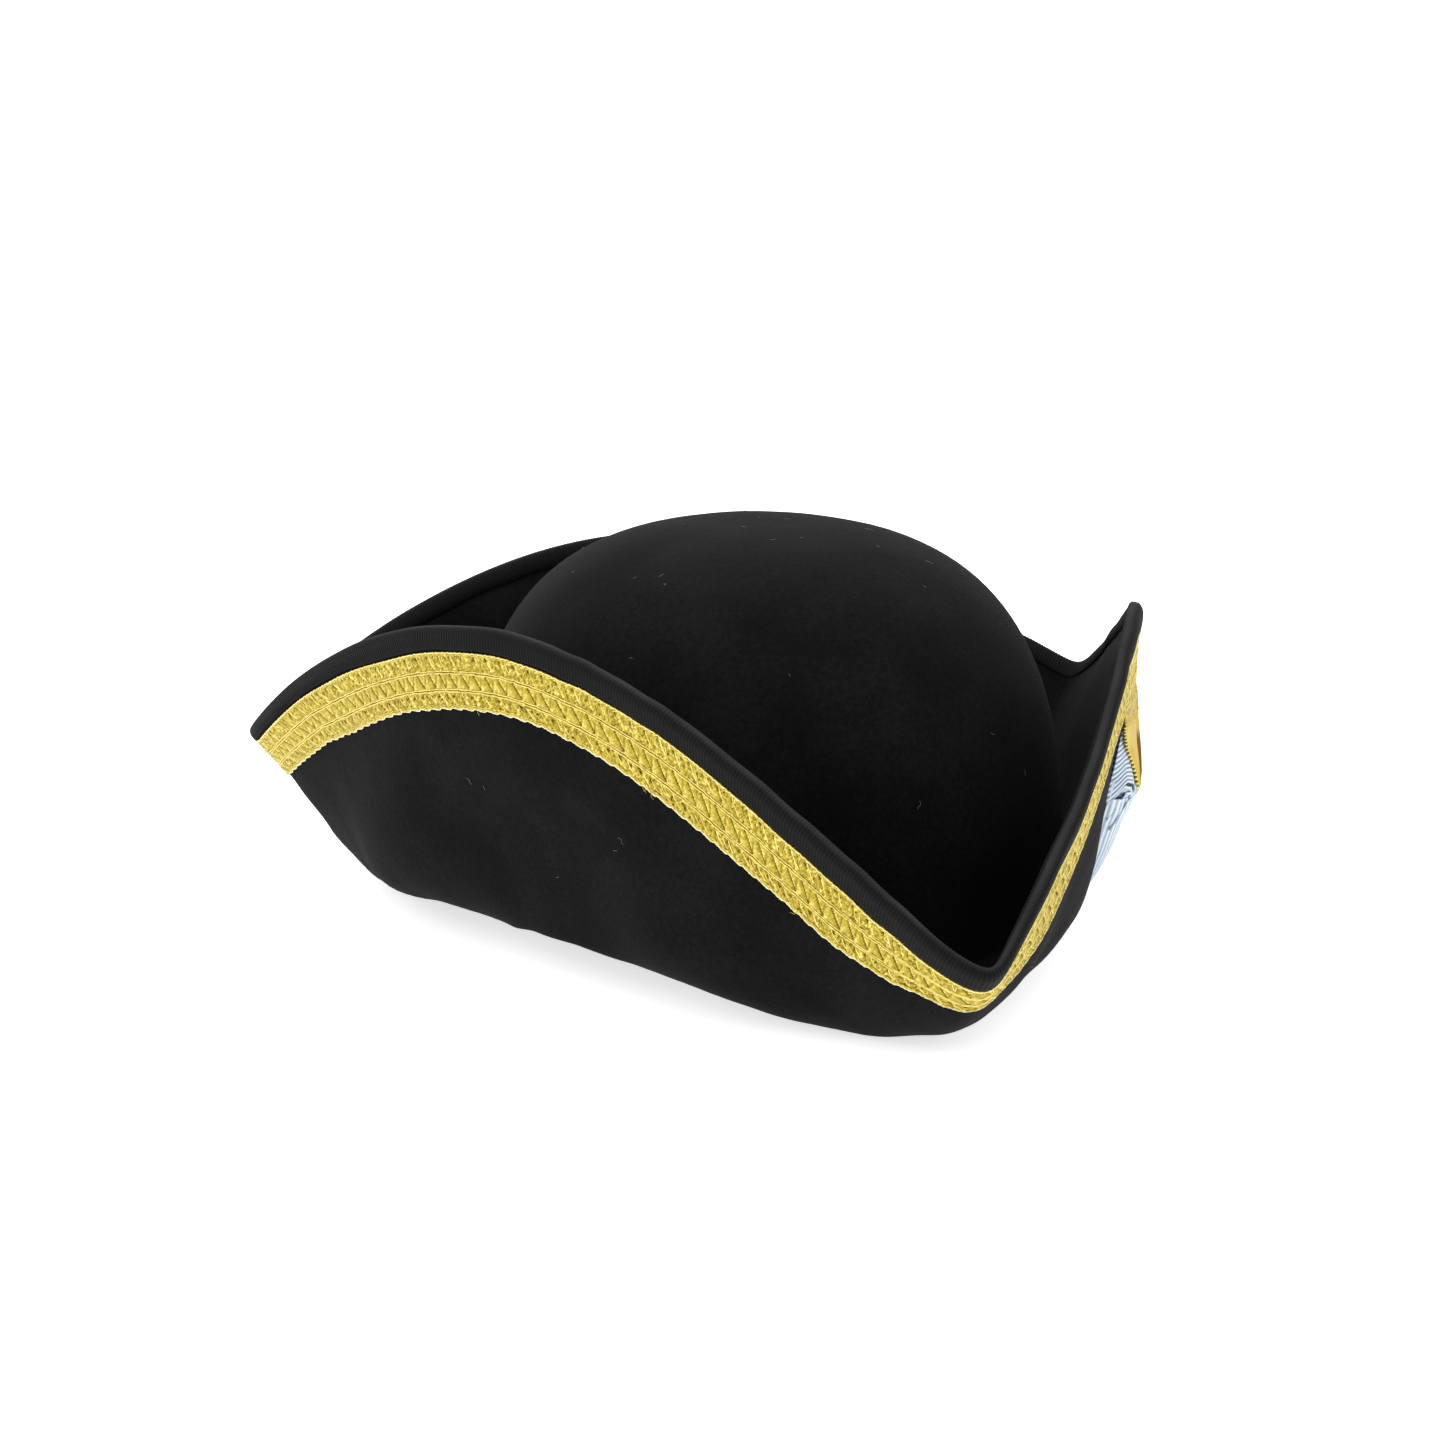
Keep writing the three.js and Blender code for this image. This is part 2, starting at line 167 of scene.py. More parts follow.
# The brim's section at each girth: a round fold at the head, then one curve out to the edge. Its
# values pass from those of the corner behind, through the panel's, to those of the corner ahead.
def sectionsAt(girth):
    turn = np.mod(girth, 3)
    index = np.minimum(np.floor(turn).astype(int), 2)
    share = turn - index
    start, end, panel = spouts[index], spouts[(index + 1) % 3], panels[index]
    first = np.radians(start[:, 0])
    sweep = np.radians(np.mod(end[:, 0] - start[:, 0], 360))
    angle = first + sweep * share
    inwards = 1 - np.abs(2 * share - 1)
    rounding = hat["cornerRoundness"]
    rounded = (np.hypot(inwards, rounding) - rounding) / (np.hypot(1, rounding) - rounding)
    width = hat["brimWidth"]
    spoutRadius = mix(headRadius(first) + start[:, 1] * width, headRadius(first + sweep) + end[:, 1] * width,
                      smooth(share))
    spoutHeight = mix(start[:, 2], end[:, 2], smooth(share)) * width
    panelRadius = headRadius(first + sweep / 2) + panel[:, 1] * width
    edge = np.stack([
        mix(spoutRadius, panelRadius, 1 - (1 - rounded) ** hat["reachFalloff"]),
        mix(spoutHeight, panel[:, 2] * width, 1 - (1 - rounded) ** hat["heightFalloff"]),
    ], -1)
    opened = smooth(inwards ** hat["spoutHold"])
    swept = mix(mix(start, end, share[:, None]), panel, opened[:, None])
    leave, lean = np.radians(swept[:, 3]), np.radians(swept[:, 5])
    ring = headRadius(angle)
    base = hat["headSideRise"] * np.cos(angle) ** 2
    section = {
        "angle": angle,
        "ring": ring,
        "foldCentre": np.stack([ring + hat["foldRadius"], base + hat["foldRadius"]], -1),
        "foldTurn": np.pi / 2 + leave,
    }
    foldEnd = foldPoints(section, np.ones((len(turn), 1)))[0][:, 0]
    span = np.linalg.norm(edge - foldEnd, axis=1)
    away = np.stack([np.cos(leave), np.sin(leave)], -1) * (swept[:, 4] * span)[:, None]
    inTo = np.stack([np.cos(lean), np.sin(lean)], -1) * (swept[:, 6] * span)[:, None]
    section["curve"] = np.stack([foldEnd, foldEnd + away, edge - inTo, edge], 1)
    along = np.linspace(0, 1, hat["curvePoints"])
    places = bezier(section["curve"], np.broadcast_to(along, (len(turn), len(along))))[0]
    steps = np.linalg.norm(np.diff(places, axis=1), axis=2)
    section["lengths"] = np.concatenate([np.zeros((len(turn), 1)), np.cumsum(steps, 1)], 1)
    return section


# Points along a section's curve, and the curve's direction at each
def bezier(curve, t):
    a, b, c, d = [curve[:, k][:, None, :] for k in range(4)]
    t = t[..., None]
    s = 1 - t
    point = s ** 3 * a + 3 * s * s * t * b + 3 * s * t * t * c + t ** 3 * d
    slope = 3 * (s * s * (b - a) + 2 * s * t * (c - b) + t * t * (d - c))
    return point, unit(slope)


def foldPoints(section, share):
    at = np.pi + section["foldTurn"][:, None] * share
    outwards = np.stack([np.cos(at), np.sin(at)], -1)
    along = np.stack([-outwards[..., 1], outwards[..., 0]], -1)
    return section["foldCentre"][:, None] + hat["foldRadius"] * outwards, along


def crownPoints(section, rise):
    power = 2 / hat["crownSquareness"]
    out = np.cos(rise * np.pi / 2) ** power
    up = np.sin(rise * np.pi / 2) ** power
    foot = section["foldCentre"][:, 1:2]
    ring = section["ring"][:, None]
    height = hat["crownHeight"] - foot
    faceOut = out ** (hat["crownSquareness"] - 1) / ring
    faceUp = up ** (hat["crownSquareness"] - 1) / height
    return np.stack([ring * out, foot + height * up], -1), unit(np.stack([faceUp, -faceOut], -1))


def brimPoints(section, drop):
    table = section["lengths"]
    length = table[:, -1:]
    target = np.clip(length - drop, 0, length)
    low = np.empty(target.shape, int)
    for column in range(target.shape[1]):
        low[:, column] = (table < target[:, column:column + 1]).sum(1) - 1
    low = np.clip(low, 0, table.shape[1] - 2)
    before = np.take_along_axis(table, low, 1)
    after = np.take_along_axis(table, low + 1, 1)
    t = (low + (target - before) / np.maximum(after - before, 1e-9)) / (table.shape[1] - 1)
    point, along = bezier(section["curve"], t)
    return point + along * np.maximum(-drop, 0)[..., None], along


def inSpace(section, flat):
    angle = section["angle"][:, None]
    return np.stack([np.cos(angle) * flat[..., 0], np.sin(angle) * flat[..., 0], flat[..., 1]], -1)


# The felt's middle and its outward face at many girths. PointsOf gives the places in a section.
def feltSurface(girth, pointsOf, places):
    placed = []
    for shift in (-hat["girthStep"], 0, hat["girthStep"]):
        section = sectionsAt(girth + shift)
        flat, along = pointsOf(section, places)
        placed.append((inSpace(section, flat), inSpace(section, along)))
    behind, here, ahead = placed
    return here[0], unit(np.cross(ahead[0] - behind[0], here[1]))


def wavesAt(girth, down):
    turn = girth[:, None] * 2 * np.pi / 3
    waves = 0
    for count, lean, start, deep in handWork["waves"]:
        waves = waves + deep * np.sin(count * turn + lean * down + start)
    return handWork["waveDepth"] * waves


def pushedOut(girth, drop):
    place = fromFront(girth)
    behind = place > 1
    place = np.where(behind, 2 - place, place)
    kept = np.where(behind, ramp(place, *handWork["pushedBehind"]), 1)
    rows = eased(handWork["pushed"], place) * kept[:, None]
    places = np.array(handWork["drops"], float)
    k = np.clip(np.searchsorted(places, drop, side="right") - 1, 0, len(places) - 2)
    share = ramp(drop, places[k], places[k + 1])
    return mix(np.take_along_axis(rows, k, 1), np.take_along_axis(rows, k + 1, 1), share)


def swollenOut(girth, drop):
    swell = handWork["swell"]
    beside = np.mod(girth - swell["girth"] + 1.5, 3) - 1.5
    return swell["out"] * bump(beside, swell["wide"])[:, None] * bump(drop - swell["drop"], swell["deep"])


def handShaped(middle, face, girth, drop):
    waves = wavesAt(girth, drop) * ramp(drop, *handWork["wavesFade"])
    moved = middle + face * (waves + pushedOut(girth, drop) + swollenOut(girth, drop))[..., None]
    lift = eased(handWork["lifted"], girth)[:, None] * ramp(drop, *handWork["liftFades"])
    sag = eased(handWork["sagged"], girth)[:, None] * ramp(drop, *handWork["sagGrows"])
    moved[..., 2] += lift - sag
    return moved


# Directions turned as the hat leans back, and points brought to rest on the floor
def leaned(vectors):
    x, y, z = vectors[..., 0], vectors[..., 1], vectors[..., 2]
    cos, sin = math.cos(hat["pitch"]), math.sin(hat["pitch"])
    return np.stack([x, y * cos + z * sin, z * cos - y * sin], -1)


def settled(points):
    rested = leaned(points)
    rested[..., 2] = np.maximum(rested[..., 2] + hat["lift"], 0)
    return rested + np.array(hat["toOrigin"])


# Meshes and materials
def makeMesh(name, points, faces, uv=None, marks=None):
    mesh = bpy.data.meshes.new(name)
    mesh.from_pydata((points / 1000).tolist(), [], faces)
    mesh.validate()
    mesh.shade_smooth()
    if uv is not None:
        layer = mesh.uv_layers.new(name="clothMm")
        layer.uv.foreach_set("vector", np.asarray(uv, np.float32).ravel())
    for key, values in (marks or {}).items():
        mark = mesh.attributes.new(key, "FLOAT", "POINT")
        mark.data.foreach_set("value", np.asarray(values, np.float32).ravel())
    piece = bpy.data.objects.new(name, mesh)
    bpy.context.scene.collection.objects.link(piece)
    return piece


# The corners of a grid's faces as rows and columns, and the faces as numbers of points. A closed
# grid joins its last column or row to its first.
def gridFaces(rows, columns, roundClosed, acrossClosed):
    row = np.arange(rows if acrossClosed else rows - 1)
    column = np.arange(columns if roundClosed else columns - 1)
    r, c = [grid.ravel() for grid in np.meshgrid(row, column, indexing="ij")]
    corners = [(r, c), (r, c + 1), (r + 1, c + 1), (r + 1, c)]
    return corners, np.stack([(a % rows) * columns + b % columns for a, b in corners], -1)


def clothUv(along, across):
    return np.stack(np.broadcast_arrays(along[None], across[:, None]), -1)


# A cloth surface from a grid of points, rows across it and columns along it, with its uv in mm.
# An open strip whose rows close gets flat ends.
def clothMesh(name, points, uv, roundClosed, acrossClosed, marks=None):
    rows, columns = points.shape[:2]
    corners, faces = gridFaces(rows, columns, roundClosed, acrossClosed)
    faceUv = np.stack([uv[a, b] for a, b in corners], 1)
    flat = points.reshape(-1, 3)
    a, b, c, d = [flat[faces[:, k]] for k in range(4)]
    volume = (a * np.cross(b, c)).sum() + (a * np.cross(c, d)).sum()
    if volume < 0:
        faces, faceUv = faces[:, ::-1], faceUv[:, ::-1]
    faceList = faces.tolist()
    uvList = [faceUv.reshape(-1, 2)]
    if acrossClosed and not roundClosed:
        for end in (0, columns - 1):
            for k in range(rows // 2 - 1):
                cap = [k, k + 1, rows - 2 - k, rows - 1 - k]
                if (end == 0) != (volume < 0):
                    cap = cap[::-1]
                faceList.append([row * columns + end for row in cap])
                uvList.append(np.array([uv[row, end] for row in cap]))
    return makeMesh(name, flat, faceList, np.concatenate(uvList), marks)


# Threads as tubes: centre lines (threads, points, 3), the cloth's face there, and a radius
def threadMesh(name, lines, face, radius, sides, closed=False, marks=None):
    count, length = lines.shape[:2]
    if closed:
        along = np.roll(lines, -1, 1) - np.roll(lines, 1, 1)
    else:
        along = np.gradient(lines, axis=1)
    side = unit(np.cross(unit(along), face))
    upward = np.cross(side, unit(along))
    at = 2 * np.pi * np.arange(sides)[:, None] / sides
    ring = side[:, :, None] * np.cos(at) + upward[:, :, None] * np.sin(at)
    size = np.broadcast_to(radius, (count, length))[:, :, None, None]
    points = (lines[:, :, None] + ring * size).reshape(-1, 3)
    starts = np.arange(count) * length * sides
    faces = (gridFaces(length, sides, True, closed)[1] + starts[:, None, None]).reshape(-1, 4).tolist()
    if not closed:
        for start in starts.tolist():
            last = start + (length - 1) * sides
            faces.append([start + k for k in range(sides)][::-1])
            faces.append([last + k for k in range(sides)])
    marks = {key: np.broadcast_to(mark, (count, length)) for key, mark in (marks or {}).items()}
    return makeMesh(name, points, faces, None, {key: np.repeat(mark, sides) for key, mark in marks.items()})


def linear(hexColour):
    values = [int(hexColour[k:k + 2], 16) / 255 for k in (1, 3, 5)]
    return [v / 12.92 if v <= 0.04045 else ((v + 0.055) / 1.055) ** 2.4 for v in values] + [1.0]


# Settings are a node's own options or its sockets' values, where text is a hex colour. A colour mix
# has its share at socket 0, its colours at 6 and 7, and its result at 2.
def addNode(tree, kind, settings=None, links=None):
    node = tree.nodes.new("ShaderNode" + kind)
    for name, value in (settings or {}).items():
        if isinstance(name, str) and hasattr(node, name):
            setattr(node, name, value)
        else:
            node.inputs[name].default_value = linear(value) if isinstance(value, str) else value
    for name, (source, output) in (links or {}).items():
        tree.links.new(source.outputs[output], node.inputs[name])
    return node


def newMaterial(name):
    material = bpy.data.materials.new(name)
    material.use_nodes = True
    material.node_tree.nodes.clear()
    return material, material.node_tree


# A noise's scale over places in metres, from its spacing in mm
def perMetre(spacing):
    return 1000 / spacing


# A band pattern's scale over uv in mm, from its spacing. Blender's bands repeat every pi / 10.
def waveScale(spacing):
    return math.pi / 10 / spacing


# The last nodes of a material: relief if there is any, the shader and the output
def finishMaterial(material, colour, finish, relief=None, heights=None):
    tree = material.node_tree
    links = {"Base Color": (colour, 2)}
    if relief:
        links["Normal"] = (addNode(tree, "Bump", relief, heights), "Normal")
    paint = addNode(tree, "BsdfPrincipled", finish, links)
    addNode(tree, "OutputMaterial", links={"Surface": (paint, "BSDF")})
    return material


def finishPiece(piece, material):
    piece.data.materials.append(material)
    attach(piece, "root")


print("surface ready")

# Camera, at the photograph's angle, and a soft studio
view = {
    "position": (-433.6, -1140.3, 395.7),
    "forward": (0.32713, 0.90832, -0.26066),
    "right": (0.94211, -0.33496, 0.01510),
    "up": (0.07360, 0.25051, 0.96531),
    "lens": 104.23,
    "sensor": 36,
}
studio = {
    "surround": 1.05,
    "floorReach": 6000,  # on each side of the middle
    "floorDrop": 0.02,
    "floor": "#FBFBFB",
    "floorGrain": "#F8F8F8",
    "grain": 25,
    "tableGlow": 0.66,  # a lit shooting table, which clears most of the shadow
    "aim": (0, 0, 60),
    # Each softbox's place and size, and its power in watts
    "softboxes": {
        "softboxAbove": ((-200, 250, 1300), 900, 9.0),
        "softboxLeft": ((-1300, -500, 700), 800, 4.0),
    },
}


def makeCamera():
    lens = bpy.data.cameras.new("camera")
    lens.lens = view["lens"]
    lens.sensor_width = view["sensor"]
    lens.clip_end = 20
    camera = bpy.data.objects.new("camera", lens)
    axes = Matrix((view["right"], view["up"], -Vector(view["forward"]))).transposed()
    camera.matrix_world = Matrix.Translation(Vector(view["position"]) / 1000) @ axes.to_4x4()
    bpy.context.scene.collection.objects.link(camera)
    bpy.context.scene.camera = camera


def makeSoftbox(name, place, size, power):
    lamp = bpy.data.lights.new(name, "AREA")
    lamp.size = size / 1000
    lamp.energy = power
    box = bpy.data.objects.new(name, lamp)
    place = Vector(place) / 1000
    turn = (Vector(studio["aim"]) / 1000 - place).to_track_quat("-Z", "Y")
    box.matrix_world = Matrix.Translation(place) @ turn.to_matrix().to_4x4()
    bpy.context.scene.collection.objects.link(box)


# Emulsion paint on a flat board, rolled on matt, so it shows no gloss and next to no grain
def studioPaint():
    material, tree = newMaterial("pale matt studio floor")
    grain = addNode(tree, "TexNoise", {"Scale": perMetre(studio["grain"]), "Detail": 4.0})
    tint = addNode(tree, "Mix", {"data_type": "RGBA", 6: studio["floorGrain"], 7: studio["floor"]},
                   {0: (grain, "Fac")})
    return finishMaterial(material, tint, {
        "Roughness": 0.9, "Specular IOR Level": 0.1, "Emission Color": "#FFFFFF",
        "Emission Strength": studio["tableGlow"]})


def makeStudio():
    scene = bpy.context.scene
    scene.view_settings.view_transform = "Standard"
    world = bpy.data.worlds.new("studio")
    world.use_nodes = True
    world.node_tree.nodes.clear()
    white = addNode(world.node_tree, "Background", {"Color": "#FFFFFF", "Strength": studio["surround"]})
    addNode(world.node_tree, "OutputWorld", links={"Surface": (white, "Background")})
    scene.world = world
    for name, (place, size, power) in studio["softboxes"].items():
        makeSoftbox(name, place, size, power)
    reach = studio["floorReach"]
    corners = np.array([(-reach, -reach, 0), (reach, -reach, 0), (reach, reach, 0), (-reach, reach, 0)])
    floor = makeMesh("studioFloor", corners - [0, 0, studio["floorDrop"]], [[0, 1, 2, 3]])
    floor.data.materials.append(studioPaint())


makeCamera()
makeStudio()
print("camera and studio ready")

# Felt
felt = {
    "columns": 396,
    "crowding": 1.7,  # how much closer together they are by the corners
    "crownRows": 34,
    "crownSpread": 0.9,
    "foldRows": 6,
    "brimRows": 34,
    "rimFrom": 9,  # drop where the rows of the brim give way to those of its rim
    "rimRows": (6, 3),
    "edgeRound": 0.9,
    "deep": "#070708",
    "worn": "#111112",
    "bloom": "#8A8A90",
    "fibre": 0.75,  # matted fibres are 0.25 apart on the real one, drawn coarser so that they show
    "clump": 1.6,
    "patch": 28,
}


def crowdedGirths():
    perPanel = felt["columns"] // 3
    number = np.arange(felt["columns"])
    across = 2 * (number % perPanel) / perPanel - 1
    crowded = np.sign(across) * (1 - (1 - np.abs(across)) ** felt["crowding"])
    return number // perPanel + (1 + crowded) / 2


# One wall from the crown's top, round the fold and up to the brim's edge, and back on its other side
def makeFeltBody():
    girth = crowdedGirths()
    count = len(girth)
    rounding = felt["edgeRound"]
    edgeDrops = np.array([*felt["rimRows"], 1.3 * rounding, 0.6 * rounding, 0.2 * rounding, 0])
    crown = np.linspace(1, 0, felt["crownRows"] + 1)[1:-1] ** felt["crownSpread"]
    fold = np.linspace(0, 1, felt["foldRows"] + 1)
    brim = np.linspace(0, 1, felt["brimRows"] + 1)[1:]
    length = sectionsAt(girth)["lengths"][:, -1:]
    drops = np.concatenate([mix(length, felt["rimFrom"], brim), edgeDrops + 0 * length], 1)
    sag = eased(handWork["sagged"], girth)[:, None]
    downCrown = np.linspace(0, 1, len(crown))
    crownMiddle, crownFace = feltSurface(girth, crownPoints, crown + 0 * length)
    crownMiddle += crownFace * (wavesAt(girth, 200) * np.sin(np.pi * downCrown) ** 0.7)[..., None]
    crownMiddle[..., 2] -= sag * downCrown ** 6
    foldMiddle, foldFace = feltSurface(girth, foldPoints, fold + 0 * length)
    foldMiddle[..., 2] -= sag
    brimMiddle, brimFace = feltSurface(girth, brimPoints, drops)
    brimMiddle = handShaped(brimMiddle, brimFace, girth, drops)
    middle = np.concatenate([crownMiddle, foldMiddle, brimMiddle], 1)
    face = np.concatenate([crownFace, foldFace, brimFace], 1)
    half = np.full(middle.shape[1], halfFelt)
    inset = 1 - np.clip(edgeDrops / (1.3 * rounding), 0, 1)
    half[-len(edgeDrops):] -= rounding * (1 - np.sqrt(1 - inset ** 2))
    inner = settled(middle - face * half[:, None])
    outer = settled(middle + face * half[:, None])
    around = np.concatenate([inner, outer[:, ::-1]], 1).transpose(1, 0, 2)
    rows = len(around)
    top = np.array([0, 0, hat["crownHeight"]])
    poles = settled(np.array([top + [0, 0, halfFelt], top - [0, 0, halfFelt]]))
    points = np.concatenate([around.reshape(-1, 3), poles])
    faces = gridFaces(rows, count, True, False)[1].tolist()
    last = (rows - 1) * count
    for k in range(count):
        after = (k + 1) % count
        faces.append([len(points) - 2, after, k])
        faces.append([len(points) - 1, last + k, last + after])
    quad = points[faces[0]]
    if np.cross(quad[1] - quad[0], quad[3] - quad[0])[2] < 0:
        faces = [one[::-1] for one in faces]
    return makeMesh("hatFelt", points, faces)


# Wool felt, blocked over a form and brushed: matted fibres lie every way, so there is no gloss
# and no weave, only a soft bloom where the light grazes the nap.
def woolFelt():
    material, tree = newMaterial("black blocked wool felt")
    place = {"Vector": (addNode(tree, "TexCoord"), "Object")}
    patches = addNode(tree, "TexNoise", {"Scale": perMetre(felt["patch"]), "Detail": 3.0}, place)
    clumps = addNode(tree, "TexNoise", {"Scale": perMetre(felt["clump"]), "Detail": 4.0, "Roughness": 0.65},
                     place)
    fibres = addNode(tree, "TexNoise", {"Scale": perMetre(felt["fibre"]), "Detail": 3.0, "Distortion": 1.6},
                     place)
    both = addNode(tree, "Math", {"operation": "MULTIPLY"}, {0: (patches, "Fac"), 1: (clumps, "Fac")})
    wear = addNode(tree, "MapRange", {"From Min": 0.16, "From Max": 0.36}, {"Value": (both, "Value")})
    colour = addNode(tree, "Mix", {"data_type": "RGBA", 6: felt["deep"], 7: felt["worn"]},
                     {0: (wear, "Result")})
    coarse = addNode(tree, "Bump", {"Strength": 0.5, "Distance": 0.0003}, {"Height": (clumps, "Fac")})
    finish = {"Roughness": 0.95, "Specular IOR Level": 0.06, "Sheen Weight": 0.09, "Sheen Roughness": 0.45,
              "Sheen Tint": felt["bloom"]}
    return finishMaterial(material, colour, finish, {"Strength": 0.6, "Distance": 0.00015},
                          {"Height": (fibres, "Fac"), "Normal": (coarse, "Normal")})


feltPiece = makeFeltBody()
finishPiece(feltPiece, woolFelt())
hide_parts("felt_body")
print("felt ready:", len(feltPiece.data.polygons), "faces")

# Short light fibres of lint that cling to the nap
lint = {
    "count": 170,
    "long": (0.9, 2.6),
    "thick": 0.045,
    "height": 0.12,  # how far their middles stand off the felt
    "trimmedRows": (59, 62),  # rows of the felt before those that the trims cover, and after them
    "dark": "#4A4845",
    "light": "#98948C",
    "patch": 11.1,
}


def makeLint():
    draw = np.random.default_rng(5)
    mesh = feltPiece.data
    count = len(mesh.polygons)
    centres, normals, areas = np.zeros(count * 3), np.zeros(count * 3), np.zeros(count)
    mesh.polygons.foreach_get("center", centres)
    mesh.polygons.foreach_get("normal", normals)
    mesh.polygons.foreach_get("area", areas)
    centres, normals = centres.reshape(-1, 3) * 1000, normals.reshape(-1, 3)
    row = np.arange(count) // felt["columns"]
    before, after = lint["trimmedRows"]
    trimmed = (row >= before) & (row < count // felt["columns"] - after)
    weight = areas * ~trimmed
    chosen = draw.choice(count, lint["count"], p=weight / weight.sum())
    at, normal = centres[chosen], unit(normals[chosen])
    side = unit(np.cross(normal, draw.normal(0, 1, (lint["count"], 3))))
    other = np.cross(normal, side)
    t = np.linspace(-0.5, 0.5, 7)[None, :, None]
    length = draw.uniform(*lint["long"], (lint["count"], 1, 1))
    bow = draw.normal(0, 0.3, (lint["count"], 1, 1))
    lines = at[:, None] + normal[:, None] * lint["height"] + side[:, None] * t * length
    lines = lines + other[:, None] * bow * length * (t ** 2 + 0.3 * np.sin(9 * t))
    return threadMesh("lint", lines, normal[:, None] + 0 * lines, lint["thick"], 4)


# Cotton lint: single dull fibres with no gloss, so they show as small grey strokes
def cottonFibre():
    material, tree = newMaterial("pale cotton lint")
    place = addNode(tree, "TexCoord")
    patches = addNode(tree, "TexNoise", {"Scale": perMetre(lint["patch"]), "Detail": 2.0},
                      {"Vector": (place, "Object")})
    colour = addNode(tree, "Mix", {"data_type": "RGBA", 6: lint["dark"], 7: lint["light"]},
                     {0: (patches, "Fac")})
    return finishMaterial(material, colour, {"Roughness": 0.9, "Sheen Weight": 0.1})


finishPiece(makeLint(), cottonFibre())
print("lint ready")

# The trims lie on one table of the brim's middle: columns round the hat, rows down from above the
# felt's edge. Places between its points are read by straight lines.
brimTable = {"columns": 3600, "firstDrop": -3.0, "step": 1.0, "rows": 96, "parts": 6}


def fillBrimTable():
    girths = 3 * np.arange(brimTable["columns"]) / brimTable["columns"]
    drop = brimTable["firstDrop"] + brimTable["step"] * np.arange(brimTable["rows"])
    points, faces = [], []
    # In parts, which keeps the memory small
    for girth in np.split(girths, brimTable["parts"]):
        drops = np.broadcast_to(drop, (len(girth), len(drop)))
        middle, face = feltSurface(girth, brimPoints, drops)
        points.append(handShaped(middle, face, girth, drops))
        faces.append(face)
    brimTable["point"] = np.concatenate(points)
    brimTable["face"] = np.concatenate(faces)


def girthOf(column):
    return column * 3 / brimTable["columns"]


# Points over the brim at table columns, drops from the edge and heights over the felt's middle.
# The second result is the cloth's face there.
def onBrim(column, drop, height):
    count = brimTable["columns"]
    column, drop, height = np.broadcast_arrays(column, drop, height)
    low = np.floor(column).astype(int)
    past = (column - low)[..., None]
    down = np.clip((drop - brimTable["firstDrop"]) / brimTable["step"], 0, brimTable["rows"] - 1.001)
    row = np.floor(down).astype(int)
    below = (down - row)[..., None]

    def read(key):
        table = brimTable[key]
        near = mix(table[low % count, row], table[low % count, row + 1], below)
        far = mix(table[(low + 1) % count, row], table[(low + 1) % count, row + 1], below)
        return mix(near, far, past)

    face = unit(read("face"))
    return settled(read("point") + face * height[..., None]), leaned(face)


# The column of each distance along the brim, measured at one drop, and the distance all round
def runAlong(drop):
    count = brimTable["columns"]
    line = brimTable["point"][:, round((drop - brimTable["firstDrop"]) / brimTable["step"])]
    steps = np.linalg.norm(np.roll(line, -1, 0) - line, axis=1)
    total = np.concatenate([[0], np.cumsum(steps)])

    def columnAt(distance):
        turns = np.floor(distance / total[-1])
        return turns * count + np.interp(distance - turns * total[-1], total, np.arange(count + 1))

    return columnAt, total[-1]


fillBrimTable()
print("brim table ready")

# Ribbon binding, folded over the edge
binding = {
    "width": 4.5,  # on each face
    "thickness": 0.5,
    "clear": 0.06,  # between it and the felt
    "ribSpacing": 1.1,  # 0.7 on the real one, coarser so that the ribs show
    "ribDepth": 0.26,
    "columnsPerRib": 4,
    "slack": 0.12,  # how unevenly a hand sewn edge runs
    # How much wider it runs than the rest, from the front corner at 0 to the back's middle at 1.5
    "wider": {
        0: 0.9, 0.03: 0.8, 0.05: 1.4, 0.08: 2.0, 0.11: 1.6, 0.16: 1.2, 0.22: 0.7, 0.3: 0.6, 0.38: 0,
        0.48: -0.2, 0.58: -0.4, 0.68: -0.2, 0.8: -1.5, 0.87: -2.1, 1: -2.3, 1.15: -1.5, 1.3: 0, 1.5: 0,
    },
    "tight": 0.6,  # share of its puff inside that the corners lose, where the fold is pulled tight
    "tightReach": 0.05,
    # Painted shade between the ribs
    "between": "#070708",
    "ribbon": "#101011",
    "worn": "#171718",
    # Painted highlight, patchy, along the top of the fold
    "foldHighlight": "#3A3A3B",
    "warp": 0.22,  # warp threads are 0.15 apart on such ribbon, drawn coarser so that they show
    "patch": 14,
}


def widerAt(column):
    return eased(binding["wider"], fromFront(girthOf(column)))


